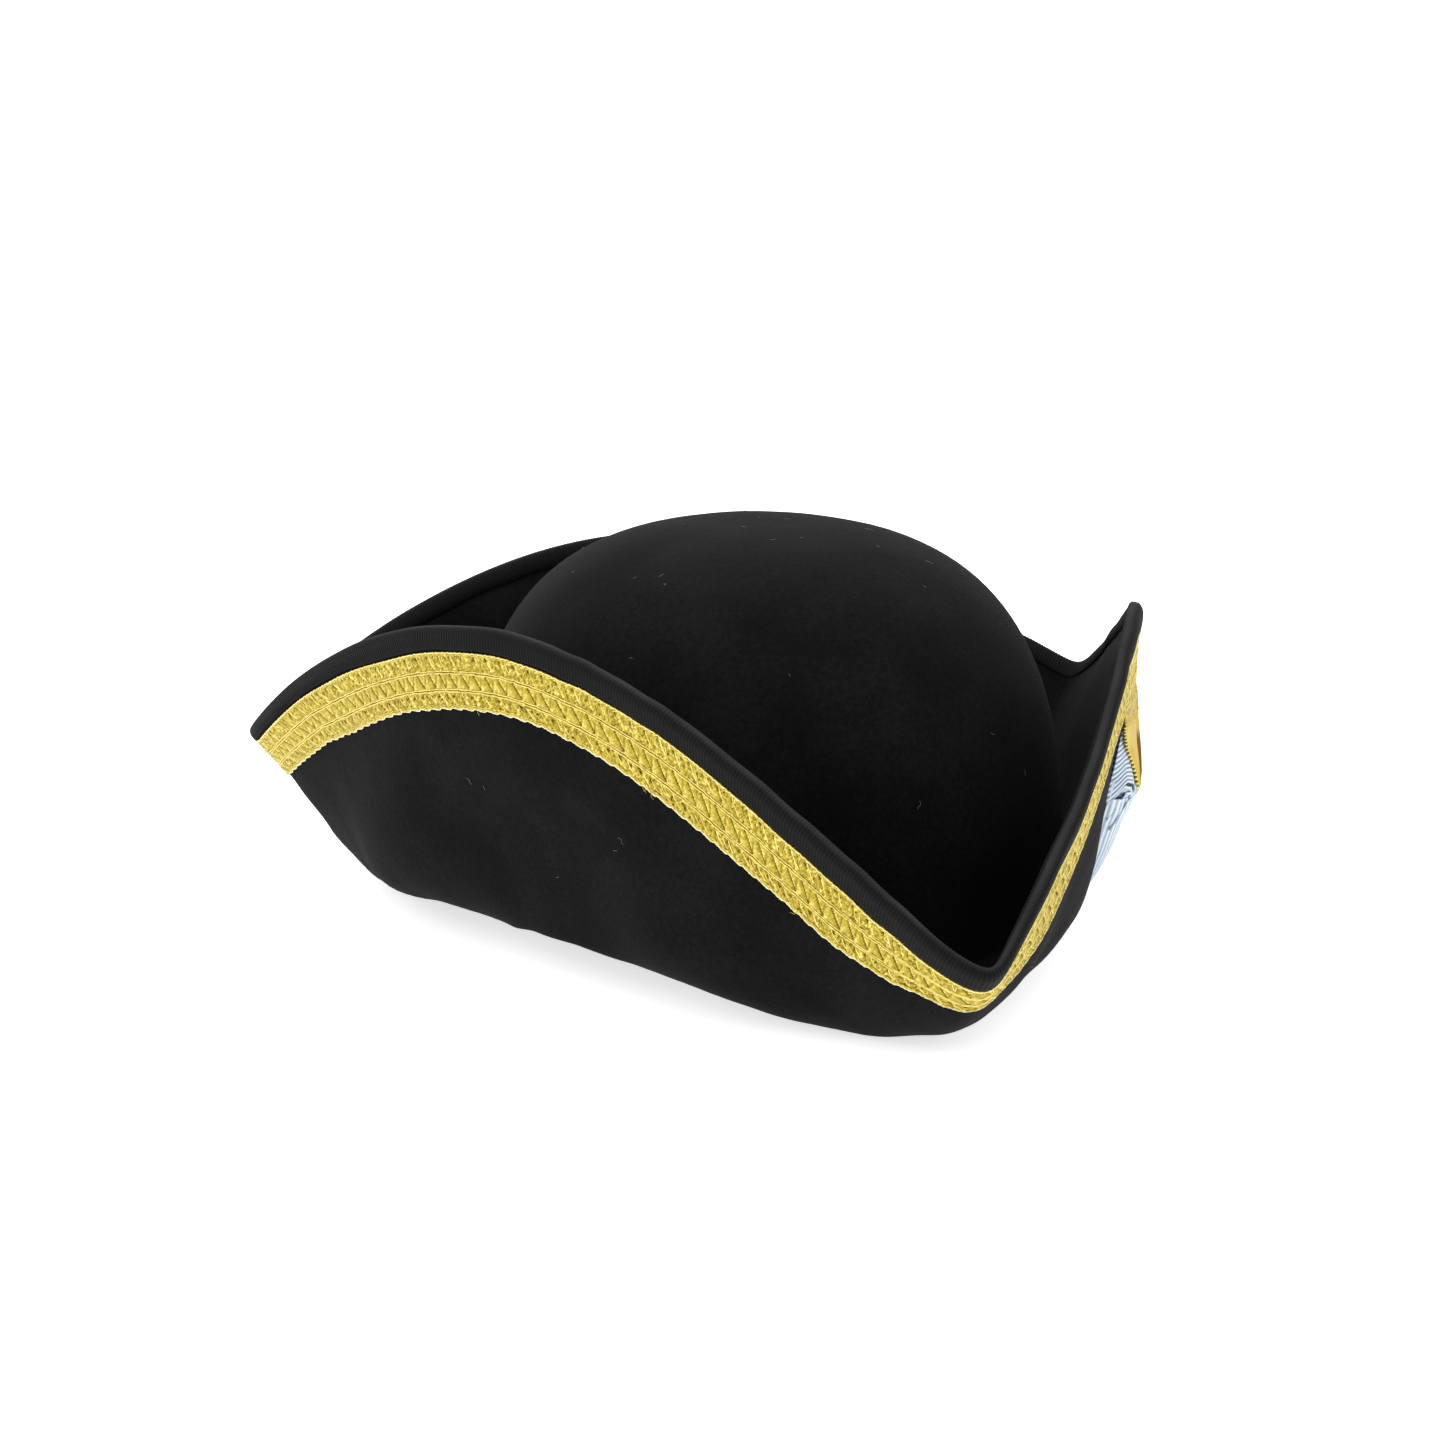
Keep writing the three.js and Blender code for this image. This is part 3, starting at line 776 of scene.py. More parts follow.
def makeBinding():
    columnAt, total = runAlong(0)
    columns = round(total / binding["ribSpacing"]) * binding["columnsPerRib"]
    distance = total * np.arange(columns) / columns
    column = columnAt(distance)
    base = halfFelt + binding["clear"]
    out = base + binding["thickness"]
    width = binding["width"]
    # Drop, height over the felt's middle and strength of the ribs: flat down the outer face, then
    # puffed round the edge and inside, and back along the felt
    outline = np.array([
        (width, base + 0.12, 0), (width - 0.1, out - 0.02, 1), (width - 1.0, out, 1), (width - 2.8, out, 1),
        (0.9, out, 1), (-0.3, out - 0.08, 0.6), (-1.2, out - 0.5, 0.6), (-1.85, out - 1.2, 0.6),
        (-2.1, 0, 0.6), (-2.1, -1.3, 0.6), (-1.8, -2.3, 0.6), (-1.0, -2.8, 0.6), (0.3, -2.95, 1),
        (1.7, -2.85, 1), (3.2, -2.5, 1), (width - 0.7, -2.1, 1), (width - 0.1, -1.8, 1),
        (width, -base - 0.1, 0), (width, -base, 0), (-0.35, 0.2 - base, 0), (-0.35, base - 0.2, 0),
        (width, base, 0),
    ])
    highlightPlace = 9.5  # of the outline's points, where the fold turns inwards
    drop, height, ribbed = outline.T[:, :, None]
    step = (np.roll(outline, -1, 0) - np.roll(outline, 1, 0))[:, :2]
    away = unit(np.stack([step[:, 1], -step[:, 0]], -1))
    rib = np.cos(2 * np.pi * np.arange(columns) / binding["columnsPerRib"]) / 2
    push = rib * binding["ribDepth"] * ribbed
    edgeWave = binding["slack"] * (np.sin(distance / 9.0) + 0.8 * np.sin(distance / 3.7 + 1.3))
    # The inside flap is nowhere narrower than the rest
    inside = (height < 0) & (drop > 1)
    wider = np.where(inside, np.maximum(widerAt(column), 0), widerAt(column))
    drops = drop + (edgeWave + wider) * ramp(drop, width - 3, width - 0.5) + push * away[:, :1]
    drawnIn = binding["tight"] * bump(girthOf(column) - np.round(girthOf(column)), binding["tightReach"])
    heights = height - np.minimum(height + base, 0) * drawnIn + push * away[:, 1:]
    points, _ = onBrim(column, drops, heights)
    across = np.concatenate([[0], np.cumsum(np.hypot(*np.diff(outline[:, :2], axis=0).T))])
    uv = clothUv(total * np.arange(columns + 1) / columns, np.append(across, across[-1] + 0.5))
    # Painted highlight where the fold turns inwards
    fold = bump(np.arange(len(outline)) - highlightPlace, 0.8)[:, None]
    # Painted shade between the ribs, where the rib mark is low
    marks = {"rib": 0.5 + rib + 0 * drops, "fold": fold + 0 * drops}
    return clothMesh("edgeBinding", points, uv, True, True, marks)


# Black grosgrain, a plain weave of fine warp over thick weft: the weft shows as ribs across the
# ribbon, and a faint satin gleam sits on each. Shade between the ribs and a patchy highlight along
# the top of the fold are painted into the colour.
def blackGrosgrain():
    material, tree = newMaterial("black grosgrain ribbon")
    patches = addNode(tree, "TexNoise", {"Scale": perMetre(binding["patch"]), "Detail": 4.0},
                      {"Vector": (addNode(tree, "TexCoord"), "Object")})
    rib = addNode(tree, "Attribute", {"attribute_name": "rib"})
    fold = addNode(tree, "Attribute", {"attribute_name": "fold"})
    thread = addNode(tree, "Mix", {"data_type": "RGBA", 6: binding["ribbon"], 7: binding["worn"]},
                     {0: (patches, "Fac")})
    ribs = addNode(tree, "Mix", {"data_type": "RGBA", 6: binding["between"]},
                   {0: (rib, "Fac"), 7: (thread, 2)})
    # A patchy painted highlight along the top of the fold
    highlightShare = addNode(tree, "Math", {"operation": "MULTIPLY"}, {0: (fold, "Fac"), 1: (patches, "Fac")})
    colour = addNode(tree, "Mix", {"data_type": "RGBA", 7: binding["foldHighlight"]},
                     {0: (highlightShare, "Value"), 6: (ribs, 2)})
    warp = addNode(tree, "TexWave",
                   {"wave_type": "BANDS", "bands_direction": "Y", "Scale": waveScale(binding["warp"]),
                    "Distortion": 1.0, "Detail": 1.0},
                   {"Vector": (addNode(tree, "UVMap", {"uv_map": "clothMm"}), "UV")})
    finish = {"Roughness": 0.6, "Specular IOR Level": 0.07, "Sheen Weight": 0.02, "Sheen Roughness": 0.4}
    return finishMaterial(material, colour, finish, {"Strength": 0.35, "Distance": 0.00006},
                          {"Height": (warp, "Fac")})


bindingPiece = makeBinding()
finishPiece(bindingPiece, blackGrosgrain())
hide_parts("edge_binding")
print("binding ready:", len(bindingPiece.data.polygons), "faces")

# Gold braid on the outer face: a woven tape with a zigzag in the middle, two pairs of cords along
# it, wavy threads round its upper edge and saw-toothed ones round its lower edge.
braid = {
    "top": 5.15,
    "width": 17.55,
    # How far the lower edge is drawn up, from the front corner at 0 to the back's middle at 1.5
    "drawnUp": {
        0: 3.9, 0.025: 2.6, 0.06: -0.9, 0.1: -2.2, 0.15: -0.6, 0.3: -0.2, 0.38: -0.2, 0.42: 0, 0.56: -0.6,
        0.61: -0.5, 0.67: 0.2, 0.73: 0.3, 0.79: 0.5, 0.83: 1.5, 0.87: 2.8, 1: 4.4, 1.12: 2.8, 1.3: 0, 1.5: 0,
    },
    "measuredAt": 14,  # drop at which its length round the hat is measured
    "repeat": 5.3,
    "columnsPerRepeat": 12,
    "tape": 0.55,
    "grain": 0.11,  # relief of the knotted thread in the outer bands
    "sawDepth": 0.5,  # how far the lower edge's teeth stand out
    # Cords, in shares of the width from the top
    "cordPlaces": (0.338, 0.378, 0.662, 0.702),
    "valleys": (0.358, 0.682),  # between the cords of each pair
    "cordRadius": 0.21,
    "cordColumns": 11,  # in each repeat
    "threadRadius": 0.2,
    # Slanted threads: from one share of the width to another, from one place in a repeat, their run
    # along it, height and shade
    "floats": (
        (0.05, 0.27, 0.4, 0.32, 0.46, 0.9),
        (0.09, 0.3, 0.8, 0.24, 0.4, 0.7),
        (0.74, 0.9, 0.1, 0.5, 0.44, 0.88),
        (0.76, 0.9, 0.6, 0.4, 0.38, 0.7),
    ),
    # Loose ends, in shares of the way round the hat
    "looseEnds": (0.3393, 0.341, 0.3437, 0.5519, 0.5536, 0.8098, 0.876, 0.877, 0.8787, 0.9372),
    "looseRadius": 0.09,
    # From painted shade in the hollows, through the thread's gold and a painted highlight, to the pale rim
    "hollowShade": "#564500",
    "gold": "#A99634",
    "bright": "#E6D47C",
    "pale": "#F6EFD0",
    "speck": 1.1,
    "turns": 0.42,  # a wire's turns are 0.1 apart, drawn coarser so that they show as a sparkle
}
braidColumnAt, braidRound = runAlong(braid["measuredAt"])
braidRepeats = round(braidRound / braid["repeat"] / 3) * 3
chance = np.random.default_rng(11)


# Places on the braid: repeats along it, shares of its width from the top, heights over the felt
def onBraid(repeats, share, height):
    column = braidColumnAt(repeats * braidRound / braidRepeats)
    up = eased(braid["drawnUp"], fromFront(girthOf(column)))
    top = braid["top"] + widerAt(column)
    bottom = braid["top"] + braid["width"] - up
    return onBrim(column, mix(top, bottom, share), halfFelt + height)


# How far each place is from a line that starts at one place in every repeat, in mm along the braid
def fromLine(repeats, line):
    return (np.mod(repeats - line + 0.5, 1) - 0.5) * braid["repeat"]


# How far each place is from a line along the braid, in mm across it
def acrossFrom(share, line):
    return (share - line) * braid["width"]


# The lower edge's teeth, which rise slowly and fall quickly
def sawTooth(repeats):
    phase = np.mod(repeats, 1)
    return np.minimum(ramp(phase, 0, 0.8), ramp(phase, 1, 0.8))


# Between the cords: a strong zigzag stroke with a ridge beside it, and a wedge that fans out
def zigzagRelief(repeats, share):
    within = np.clip((share - 0.4) / 0.24, 0, 1)
    inBand = ramp(share, 0.385, 0.415) * ramp(share, 0.655, 0.625)
    strong = fromLine(repeats, 0.1 + 0.62 * within) * 0.8
    groove = -0.6 * bump(strong, 0.3) * (1 - 0.3 * within) - 0.12 * bump(strong + 0.9, 0.22)
    ridge = 0.24 * bump(strong - 0.6, 0.24) + 0.1 * bump(strong + 0.55, 0.2)
    wedge = fromLine(repeats, 0.86 + 0.1 * within)
    fan = 0.06 * bump(wedge, 0.3 + 0.7 * within) - 0.2 * bump(wedge + 0.9 * within + 0.35, 0.24)
    return (groove + ridge + fan) * inBand


# The upper band: hooked strokes, fainter ones between them, and a hole by the edge in each repeat
def upperRelief(repeats, share):
    within = np.clip((share - 0.05) / 0.27, 0, 1)
    inBand = ramp(share, 0.04, 0.09) * ramp(share, 0.325, 0.285)
    hook = fromLine(repeats, 0.25 + 0.42 * within ** 1.4) * 0.85
    groove = -0.26 * bump(hook, 0.24) * (1 - 0.6 * within)
    ridge = 0.16 * bump(hook - 0.5, 0.26)
    faint = -0.1 * bump(fromLine(repeats, 0.72 + 0.3 * within) * 0.85, 0.24)
    hole = -0.4 * bump(fromLine(repeats, 0.24), 0.45) * bump(acrossFrom(share, 0.1), 0.45)
    return (groove + ridge + faint) * inBand + hole


# The lower band: slanting leaves, and four holes to every three repeats
def lowerRelief(repeats, share):
    leaf = 0.1 * bump(fromLine(repeats, 0.2 + 2.2 * (share - 0.74)) * 0.7, 0.5) - 0.04
    hole = -0.5 * bump(fromLine(repeats * 4 / 3, 0.5) * 3 / 4, 0.42) * bump(acrossFrom(share, 0.79), 0.4)
    return leaf * ramp(share, 0.72, 0.75) + hole


def makeBraidTape():
    perRepeat = braid["columnsPerRepeat"]
    columns = braidRepeats * perRepeat
    upperValley, lowerValley = braid["valleys"]
    # Rows stand closest where the pattern has most to show
    share = np.concatenate([
        [0, 0.015], np.linspace(0.04, 0.32, 11), [upperValley], np.linspace(0.385, 0.65, 12),
        [lowerValley], np.linspace(0.715, 0.93, 9), [0.955, 0.97],
    ])[:, None]
    repeats = np.arange(columns)[None] / perRepeat
    wander = 0.06 * np.sin(repeats * 1.7) + 0.05 * np.sin(repeats * 0.61 + 1)
    shifted = repeats + wander
    relief = zigzagRelief(shifted, share) + upperRelief(shifted, share) + lowerRelief(shifted, share)
    knotted = ramp(share, 0.34, 0.31) + ramp(share, 0.7, 0.73)
    grain = chance.normal(0, 1, (len(share), columns))
    grain = (0.8 * grain + 0.6 * np.roll(grain, 1, 1) * np.roll(grain, 3, 0)) * (0.3 + 0.7 * knotted)
    valley = bump(acrossFrom(share, upperValley), 0.3) + bump(acrossFrom(share, lowerValley), 0.3)
    height = np.maximum(braid["tape"] + relief - 0.12 * valley + braid["grain"] * grain, 0.1)
    height[[0, -1]] = 0.1
    # Painted light: raised relief lighter, and grooves, holes and the valleys between cords darker
    shade = np.clip(0.6 - 0.05 * knotted + 1.6 * relief - 0.35 * valley + 0.18 * grain, 0, 1)
    saw = braid["sawDepth"] / braid["width"] * sawTooth(repeats) * bump(share - 0.97, 0.06)
    front, _ = onBraid(repeats, share + saw, height)
    # The back has rows of its own, so that it follows the felt where that curves
    under = np.linspace(0.955, 0.015, 6)[:, None]
    back, _ = onBraid(repeats, under, 0.04)
    shade = np.concatenate([shade, np.full((len(under), columns), 0.4)])
    across = np.concatenate([share[:, 0], under[:, 0], [0]]) * braid["width"]
    uv = clothUv(np.arange(columns + 1) / perRepeat * braid["repeat"], across)
    return clothMesh("goldBraidTape", np.concatenate([front, back]), uv, True, True, {"shade": shade})


def makeBraidCords():
    repeats = np.arange(braidRepeats * braid["cordColumns"])[None] / braid["cordColumns"]
    places = np.array(braid["cordPlaces"])[:, None]
    full = 2 * np.pi * repeats
    wander = 0.004 * np.sin(full + places * 9) + 0.003 * np.sin(full / 3 + places * 71)
    height = braid["tape"] + 0.06 + 0.07 * np.sin(full * 2 + places * 20)
    lines, face = onBraid(repeats, places + wander, height)
    twist = 1 + 0.12 * np.sin(full * 4 + places * 50)
    return threadMesh("goldBraidCords", lines, face, braid["cordRadius"] * twist, 6, True, {"shade": 0.86})


# Threads that run all along both edges: two wavy ones above, three in nested teeth below
def makeBraidEdges():
    perRepeat = braid["columnsPerRepeat"]
    repeats = np.arange(braidRepeats * perRepeat) / perRepeat
    full = 2 * np.pi * repeats
    saw = sawTooth(repeats) * braid["sawDepth"] / braid["width"]
    wave = 0.006 * np.sin(full * 3 + 0.7 * np.sin(full / 5)) + 0.004 * np.sin(full * 2 + 1)
    # Share of the width, height and shade of each
    share, height, shade = zip(
        (0.012 + wave, 0.52, 1.12),
        (0.036 - 0.7 * wave, 0.62, 0.7),
        (0.985 + 1.0 * saw, 0.42, 1.12),
        (0.958 + 0.9 * saw, 0.56, 0.78),
        (0.928 + 0.7 * saw, 0.6, 0.72),
    )
    number = np.arange(5)[:, None]
    height = np.array(height)[:, None] + 0.06 * np.sin(full * 4 + number)
    shade = np.array(shade)[:, None] + 0.12 * np.sin(full * 3 + 2 * number)
    lines, face = onBraid(repeats, np.stack(share), height)
    return threadMesh("goldBraidEdges", lines, face, 1.1 * braid["threadRadius"], 5, True, {"shade": shade})


# Slanted threads across the outer bands, caught under the cords at one end
def makeBraidFloats():
    t = np.linspace(0, 1, 8)[None]
    each = (braidRepeats, 1)
    parts = []
    for begin, end, start, run, height, bright in braid["floats"]:
        near = np.arange(braidRepeats)[:, None] + start + chance.normal(0, 0.08, each)
        share = mix(begin, end, t) + chance.normal(0, 0.006, each)
        repeats = near + (run + chance.normal(0, 0.12, each)) * t ** 1.3
        rise = height + 0.12 * np.sin(np.pi * t) + chance.normal(0, 0.03, each)
        lines, face = onBraid(repeats, share, rise)
        parts.append((lines, face, bright + 0.08 * chance.normal(0, 1, each) + 0 * t))
    lines, face, shade = [np.concatenate(part) for part in zip(*parts)]
    return threadMesh("goldBraidFloats", lines, face, braid["threadRadius"], 5, False, {"shade": shade})


# A few ends of thread that have worked loose under the lower edge
def makeLooseEnds():
    where = np.array(braid["looseEnds"])[:, None] * braidRepeats
    t = np.linspace(0, 1, 10)[None]
    size = chance.uniform(0.5, 1.0, where.shape)
    swing = chance.normal(0, 0.35, where.shape)
    repeats = where + swing * t ** 1.5 + 0.06 * np.sin(9 * t + swing * 20)
    height = 0.4 + 0.5 * np.sin(2.4 * t) * size + 0.15 * t
    lines, face = onBraid(repeats, 0.98 + 0.11 * size * t, height)
    radius = braid["looseRadius"] * (1.1 - 0.5 * t)
    return threadMesh("goldBraidLooseEnds", lines, face, radius, 5, False, {"shade": 0.55})


# Gilt metal thread: flattened wire wound on a yellow core, so each thread gleams along one side,
# and the cloth between threads stays a dull olive gold. Both are painted into the colour by the
# shade mark, as painted highlight and painted shade.
def giltThread(name, sparkle):
    material, tree = newMaterial(name)
    shade = addNode(tree, "Attribute", {"attribute_name": "shade"})
    place = {"Vector": (addNode(tree, "TexCoord"), "Object")}
    speck = addNode(tree, "TexNoise", {"Scale": perMetre(braid["speck"]), "Detail": 3.0, "Roughness": 0.7},
                    place)
    tone = addNode(tree, "Math", {"operation": "MULTIPLY_ADD", 1: 0.9, 2: -0.45}, {0: (speck, "Fac")})
    level = addNode(tree, "Math", {"operation": "ADD"}, {0: (shade, "Fac"), 1: (tone, "Value")})
    # From painted shade in the hollows to the thread's own gold, a painted highlight on its bright
    # side, and the pale rim on top
    colour = None
    for start, end, lighter in ((0.1, 0.6, "gold"), (0.6, 0.95, "bright"), (1.0, 1.35, "pale")):
        share = addNode(tree, "MapRange", {"From Min": start, "From Max": end}, {"Value": (level, "Value")})
        darker = {6: (colour, 2)} if colour else {}
        colour = addNode(tree, "Mix", {"data_type": "RGBA", 6: braid["hollowShade"], 7: braid[lighter]},
                         {0: (share, "Result"), **darker})
    turns = addNode(tree, "TexNoise", {"Scale": perMetre(braid["turns"]), "Detail": 2.0}, place)
    finish = {"Metallic": 0.42, "Roughness": 0.48, "Specular IOR Level": 0.1}
    return finishMaterial(material, colour, finish, {"Strength": sparkle, "Distance": 0.0002},
                          {"Height": (turns, "Fac")})


tapePiece = makeBraidTape()
finishPiece(tapePiece, giltThread("gilt thread woven as tape", 0.9))
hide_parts("gold_braid")
print("braid tape ready:", len(tapePiece.data.polygons), "faces")
giltCord = giltThread("gilt thread laid as cord", 0.6)
for piece in (makeBraidCords(), makeBraidEdges(), makeBraidFloats(), makeLooseEnds()):
    finishPiece(piece, giltCord)
    print("braid piece ready:", piece.name, len(piece.data.polygons), "faces")

# Cockade on the wearer's left panel: loops of pale ribbon under a gold strap
cockade = {
    "girth": 0.5,
    "drop": 51.55,  # of its centre
    "thickness": 0.36,
    "foldThickness": 0.3,
    "ribSpacing": 1.8,  # 1 on the real one, coarser so that the ribs show
    "alongSpacing": 2.25,  # of ribs that run along a loop, where the cloth is cut the other way
    "ribDepth": 0.32,
    "lowest": 0.35,  # the least height of a loop's middle over the felt
    "ribbon": "#CEDCE8",
    # Painted shade between the ribs
    "between": "#42566D",
    # Painted shade in the gathered folds and inside the loops
    "gatherShade": "#34527A",
    "patch": 5,
    "warp": 0.3,  # warp threads are 0.12 apart, drawn coarser so that they show
}
# Loops go out along the felt, round their tip and back over themselves to the mouth by the knot.
# Direction is in degrees from the rear towards the brim's edge. Crest lists heights of the loop's
# middle at distances from the cockade's centre. Arch is how far a loop's sides come down from it,
# at its mouth and tip, and archSoon how quickly. Shut is the side that is pressed shut. Mouth is
# how far the mouth is drawn in, from its middle to its sides. Skew moves the mouth sideways. Ribs
# that run along a loop need more rows and fewer columns.
sideLoop = {
    "start": 3, "startLift": 0.4, "tipHeight": 1.6, "tipLift": 0.5, "mouthWidth": 7, "arch": 0.6,
    "archSoon": 1.5, "shut": 0, "pleat": 0.4, "pleats": 2, "mouth": [1, 1, 1, 1, 1],
    "ribsAcross": True, "ribContrast": 1, "columnsPerRib": 7, "rows": 31,
}
loops = {
    "cockadeUpperLoop": {
        **sideLoop, "node": "cockade_loop_upper", "direction": 90, "reach": 25.5, "start": 4,
        "tipHeight": 0.8, "tipLift": 0.4, "tipWidth": 24, "mouthWidth": 27, "arch": 0.96, "archTip": 0.7,
        "archSoon": 2.5, "shut": -1, "pleat": 0, "skew": 0, "mouth": [-2.4, -1.6, 1.2, 2.6, -3.5],
        "crest": {-2: 9.0, 0: 8.5, 2: 7.7, 4: 6.7, 7: 5.3, 10.5: 4.0, 15: 2.4, 18.5: 1.4, 26: 1.1},
    },
    "cockadeLowerLoop": {
        **sideLoop, "node": "cockade_loop_lower", "direction": 270, "reach": 37, "startLift": 0.5,
        "tipHeight": 0.6, "tipLift": 1.8, "tipWidth": 5, "mouthWidth": 25, "arch": 0.9, "archTip": 0.7,
        "archSoon": 1.6, "shut": 1, "pleat": 0.5, "skew": 0, "mouth": [1.0, 1.2, 3.2, 3.0, 2.4],
        "ribsAcross": False, "ribContrast": 0.68, "columnsPerRib": 4, "rows": 81,
        "crest": {0: 8.3, 6: 8.2, 9: 7.7, 12.3: 7.2, 16.5: 6.8, 21: 6.3, 26: 5.3, 29.5: 4.5, 33: 3.5,
                  36: 2.7, 38: 2.4},
    },
    "cockadeFrontLoop": {
        **sideLoop, "node": "cockade_loop_front", "direction": 180, "reach": 13, "tipWidth": 8,
        "archTip": 0.8, "skew": 2.5, "crest": {0: 7.0, 3: 6.3, 7: 4.6, 13: 2.1},
    },
    "cockadeRearLoop": {
        **sideLoop, "node": "cockade_loop_rear", "direction": 0, "reach": 17.5, "tipWidth": 10,
        "archTip": 0.85, "skew": -2, "crest": {0: 7.0, 4: 6.6, 9: 5.6, 13: 4.2, 18: 2.1},
    },
}
# Folds of the gathered ribbon that show under the upper loop's mouth, one inside the other. Top
# and high are places and heights of a fold's rim, from its middle to its feet at both sides.
folds = {
    "cockadeFoldOuter": {
        "half": 12.4, "depth": 3.6, "top": (-3.2, -2.2, 0.5, 1.3, -4.4), "high": (8.6, 8.0, 6.9, 5.1, 1.6)},
    "cockadeFoldInner": {
        "half": 10.8, "depth": 3.8, "top": (-3.9, -3.1, -1.3, -1.2, -5.8), "high": (9.0, 8.4, 7.4, 6.2, 4.2)},
    "cockadeFoldLast": {
        "half": 8.6, "depth": 4.4, "top": (-4.8, -4.2, -3.2, -4.2, -9.0), "high": (9.1, 8.8, 8.1, 7.3, 5.9)},
}
foldPlaces = (0, 0.2, 0.5, 0.75, 1)
# Deep is the painted shade where a fold dips under the next one
foldLook = {"dip": 1.7, "deep": 0.65, "ribContrast": 0.4}
# The knot's centre and half thickness are listed up the panel, then over the felt
knot = {"columns": 96, "rows": 23, "half": 2.6, "centre": (-1.6, 7.3), "thick": (3.0, 2.5), "waist": 0.22}


# The table's column under the cockade, and how far apart columns are there
def findCockade():
    column = cockade["girth"] / 3 * brimTable["columns"]
    row = int(cockade["drop"] - brimTable["firstDrop"])
    ends = brimTable["point"][int(column) + np.array([-4, 4]), row]
    return column, np.linalg.norm(ends[1] - ends[0]) / 8


cockadeColumn, columnMm = findCockade()


# A point over the panel: distances rearwards and up from the cockade's centre, height over felt
def onPanel(rearwards, upwards, height):
    return onBrim(cockadeColumn + rearwards / columnMm, cockade["drop"] - upwards, halfFelt + height)


# The side of a cloth that faces away from the felt, told at one place near its last column
def clothNormal(middle, face):
    normal = unit(np.cross(np.gradient(middle, axis=1), np.gradient(middle, axis=0)))
    if (normal * face)[len(middle) // 2, -9].sum() < 0:
        normal = -normal
    return normal


def lengthsAlong(points):
    return np.concatenate([[0], np.cumsum(np.linalg.norm(np.diff(points, axis=0), axis=1))])


# A ribbon as a closed cloth from its middle surface over the panel. Deep is how much painted
# shade each place gets for lying in the gathered folds, on the outside and on the inside.
def ribbonMesh(name, rearwards, upwards, height, deep, ribsAcross, thickness, ribContrast):
    middle, face = onPanel(rearwards, upwards, height)
    normal = clothNormal(middle, face)
    widths = np.linalg.norm(np.diff(middle, axis=0), axis=2).sum(0)
    run = lengthsAlong(middle[len(middle) // 2])
    across = lengthsAlong(middle[:, np.argmax(widths)])
    if ribsAcross:
        rib = np.cos(2 * np.pi * run[None] / cockade["ribSpacing"]) + 0 * across[:, None]
    else:
        rib = np.cos(2 * np.pi * across[:, None] / cockade["alongSpacing"]) + 0 * run[None]
    top = 0.5 + 0.5 * rib
    half = (thickness / 2 + 0.5 * cockade["ribDepth"] * top)[..., None]
    points = np.concatenate([middle + normal * half, (middle - normal * half)[::-1]])
    # Painted shade between the ribs, as strong as ribContrast
    shade = 1 - ribContrast * (1 - top)
    marks = {
        "shade": np.concatenate([shade, shade[::-1]]),
        "deep": np.concatenate([deep[0] + 0 * rib, (deep[1] + 0 * rib)[::-1]]),
    }
    uv = clothUv(run, np.concatenate([across, across[::-1], [0]]))
    return clothMesh(name, points, uv, False, True, marks)


def makeLoop(name, loop):
    turn = loop["tipHeight"] / 2
    tip = loop["reach"] - turn
    under = np.linspace(0, 1, 30)[:-1]
    bend = np.linspace(0, 1, 14)
    over = np.linspace(0, 1, 60)[1:]
    overOut = mix(tip, 0, over)
    out = np.concatenate([mix(loop["start"], tip, under), tip + turn * np.sin(np.pi * bend), overOut])
    crest = np.concatenate([
        mix(loop["startLift"], loop["tipLift"], under),
        loop["tipLift"] + turn * (1 - np.cos(np.pi * bend)),
        np.interp(overOut, list(loop["crest"]), list(loop["crest"].values())),
    ])
    back = np.concatenate([0 * under, 0 * bend, over])
    length = lengthsAlong(np.stack([out, crest], -1))
    at = np.linspace(0, length[-1], int(length[-1] / cockade["ribSpacing"] * loop["columnsPerRib"]))
    out, crest, back = [np.interp(at, length, values) for values in (out, crest, back)]
    # Rows are closer together at the edges, where the loop turns down
    b = np.sin(np.pi / 2 * np.linspace(-1, 1, loop["rows"]))[:, None]
    arch = mix(loop["archTip"], loop["arch"], smooth(np.minimum(back * loop["archSoon"], 1))) * (back > 0)
    arch = np.where(b * loop["shut"] > 0, np.maximum(arch, loop["arch"] * (back > 0)), arch)
    dome = (1 - np.abs(b) ** 2.2) ** 0.8
    pleat = loop["pleat"] * back ** 1.5 * np.cos(np.pi * loop["pleats"] * (b + 1)) * (1 - b ** 4)
    height = np.maximum(0.4 + (crest - 0.4) * (1 - arch + arch * dome) + pleat, cockade["lowest"])
    out = out + np.interp(np.abs(b), [0, 0.15, 0.4, 0.7, 1], loop["mouth"]) * back ** 2.5
    side = mix(loop["tipWidth"], loop["mouthWidth"], smooth(back)) / 2 * b + loop["skew"] * back
    angle = math.radians(loop["direction"])
    rearwards = math.cos(angle) * out - math.sin(angle) * side
    upwards = math.sin(angle) * out + math.cos(angle) * side
    # Painted shade: a little on the under layer, more inside the loop over it
    deep = (0.15 * (back <= 0), 0.55 * (back > 0))
    return ribbonMesh(name, rearwards, upwards, height, deep, loop["ribsAcross"], cockade["thickness"],
                      loop["ribContrast"])


def makeFold(name, fold):
    t = np.linspace(-1, 1, 180)
    b = np.linspace(-1, 1, 15)[:, None]
    top = eased(dict(zip(foldPlaces, fold["top"])), np.abs(t))
    high = eased(dict(zip(foldPlaces, fold["high"])), np.abs(t))
    rearwards = fold["half"] * t * (1 + 0.04 * b)
    upwards = top - fold["depth"] * (b + 1) / 2
    # From its rim the fold dips under the next one
    dip = smooth((b + 1) / 2)
    height = high - np.minimum(foldLook["dip"] * dip, 0.8 * high) + 0.12 * np.sin(5 * t + 2 * b)
    # Painted shade grows as the fold dips under the next one
    deep = foldLook["deep"] * dip
    return ribbonMesh(name, rearwards, upwards, np.maximum(height, 0.4), (deep, deep), False,
                      cockade["foldThickness"], foldLook["ribContrast"])


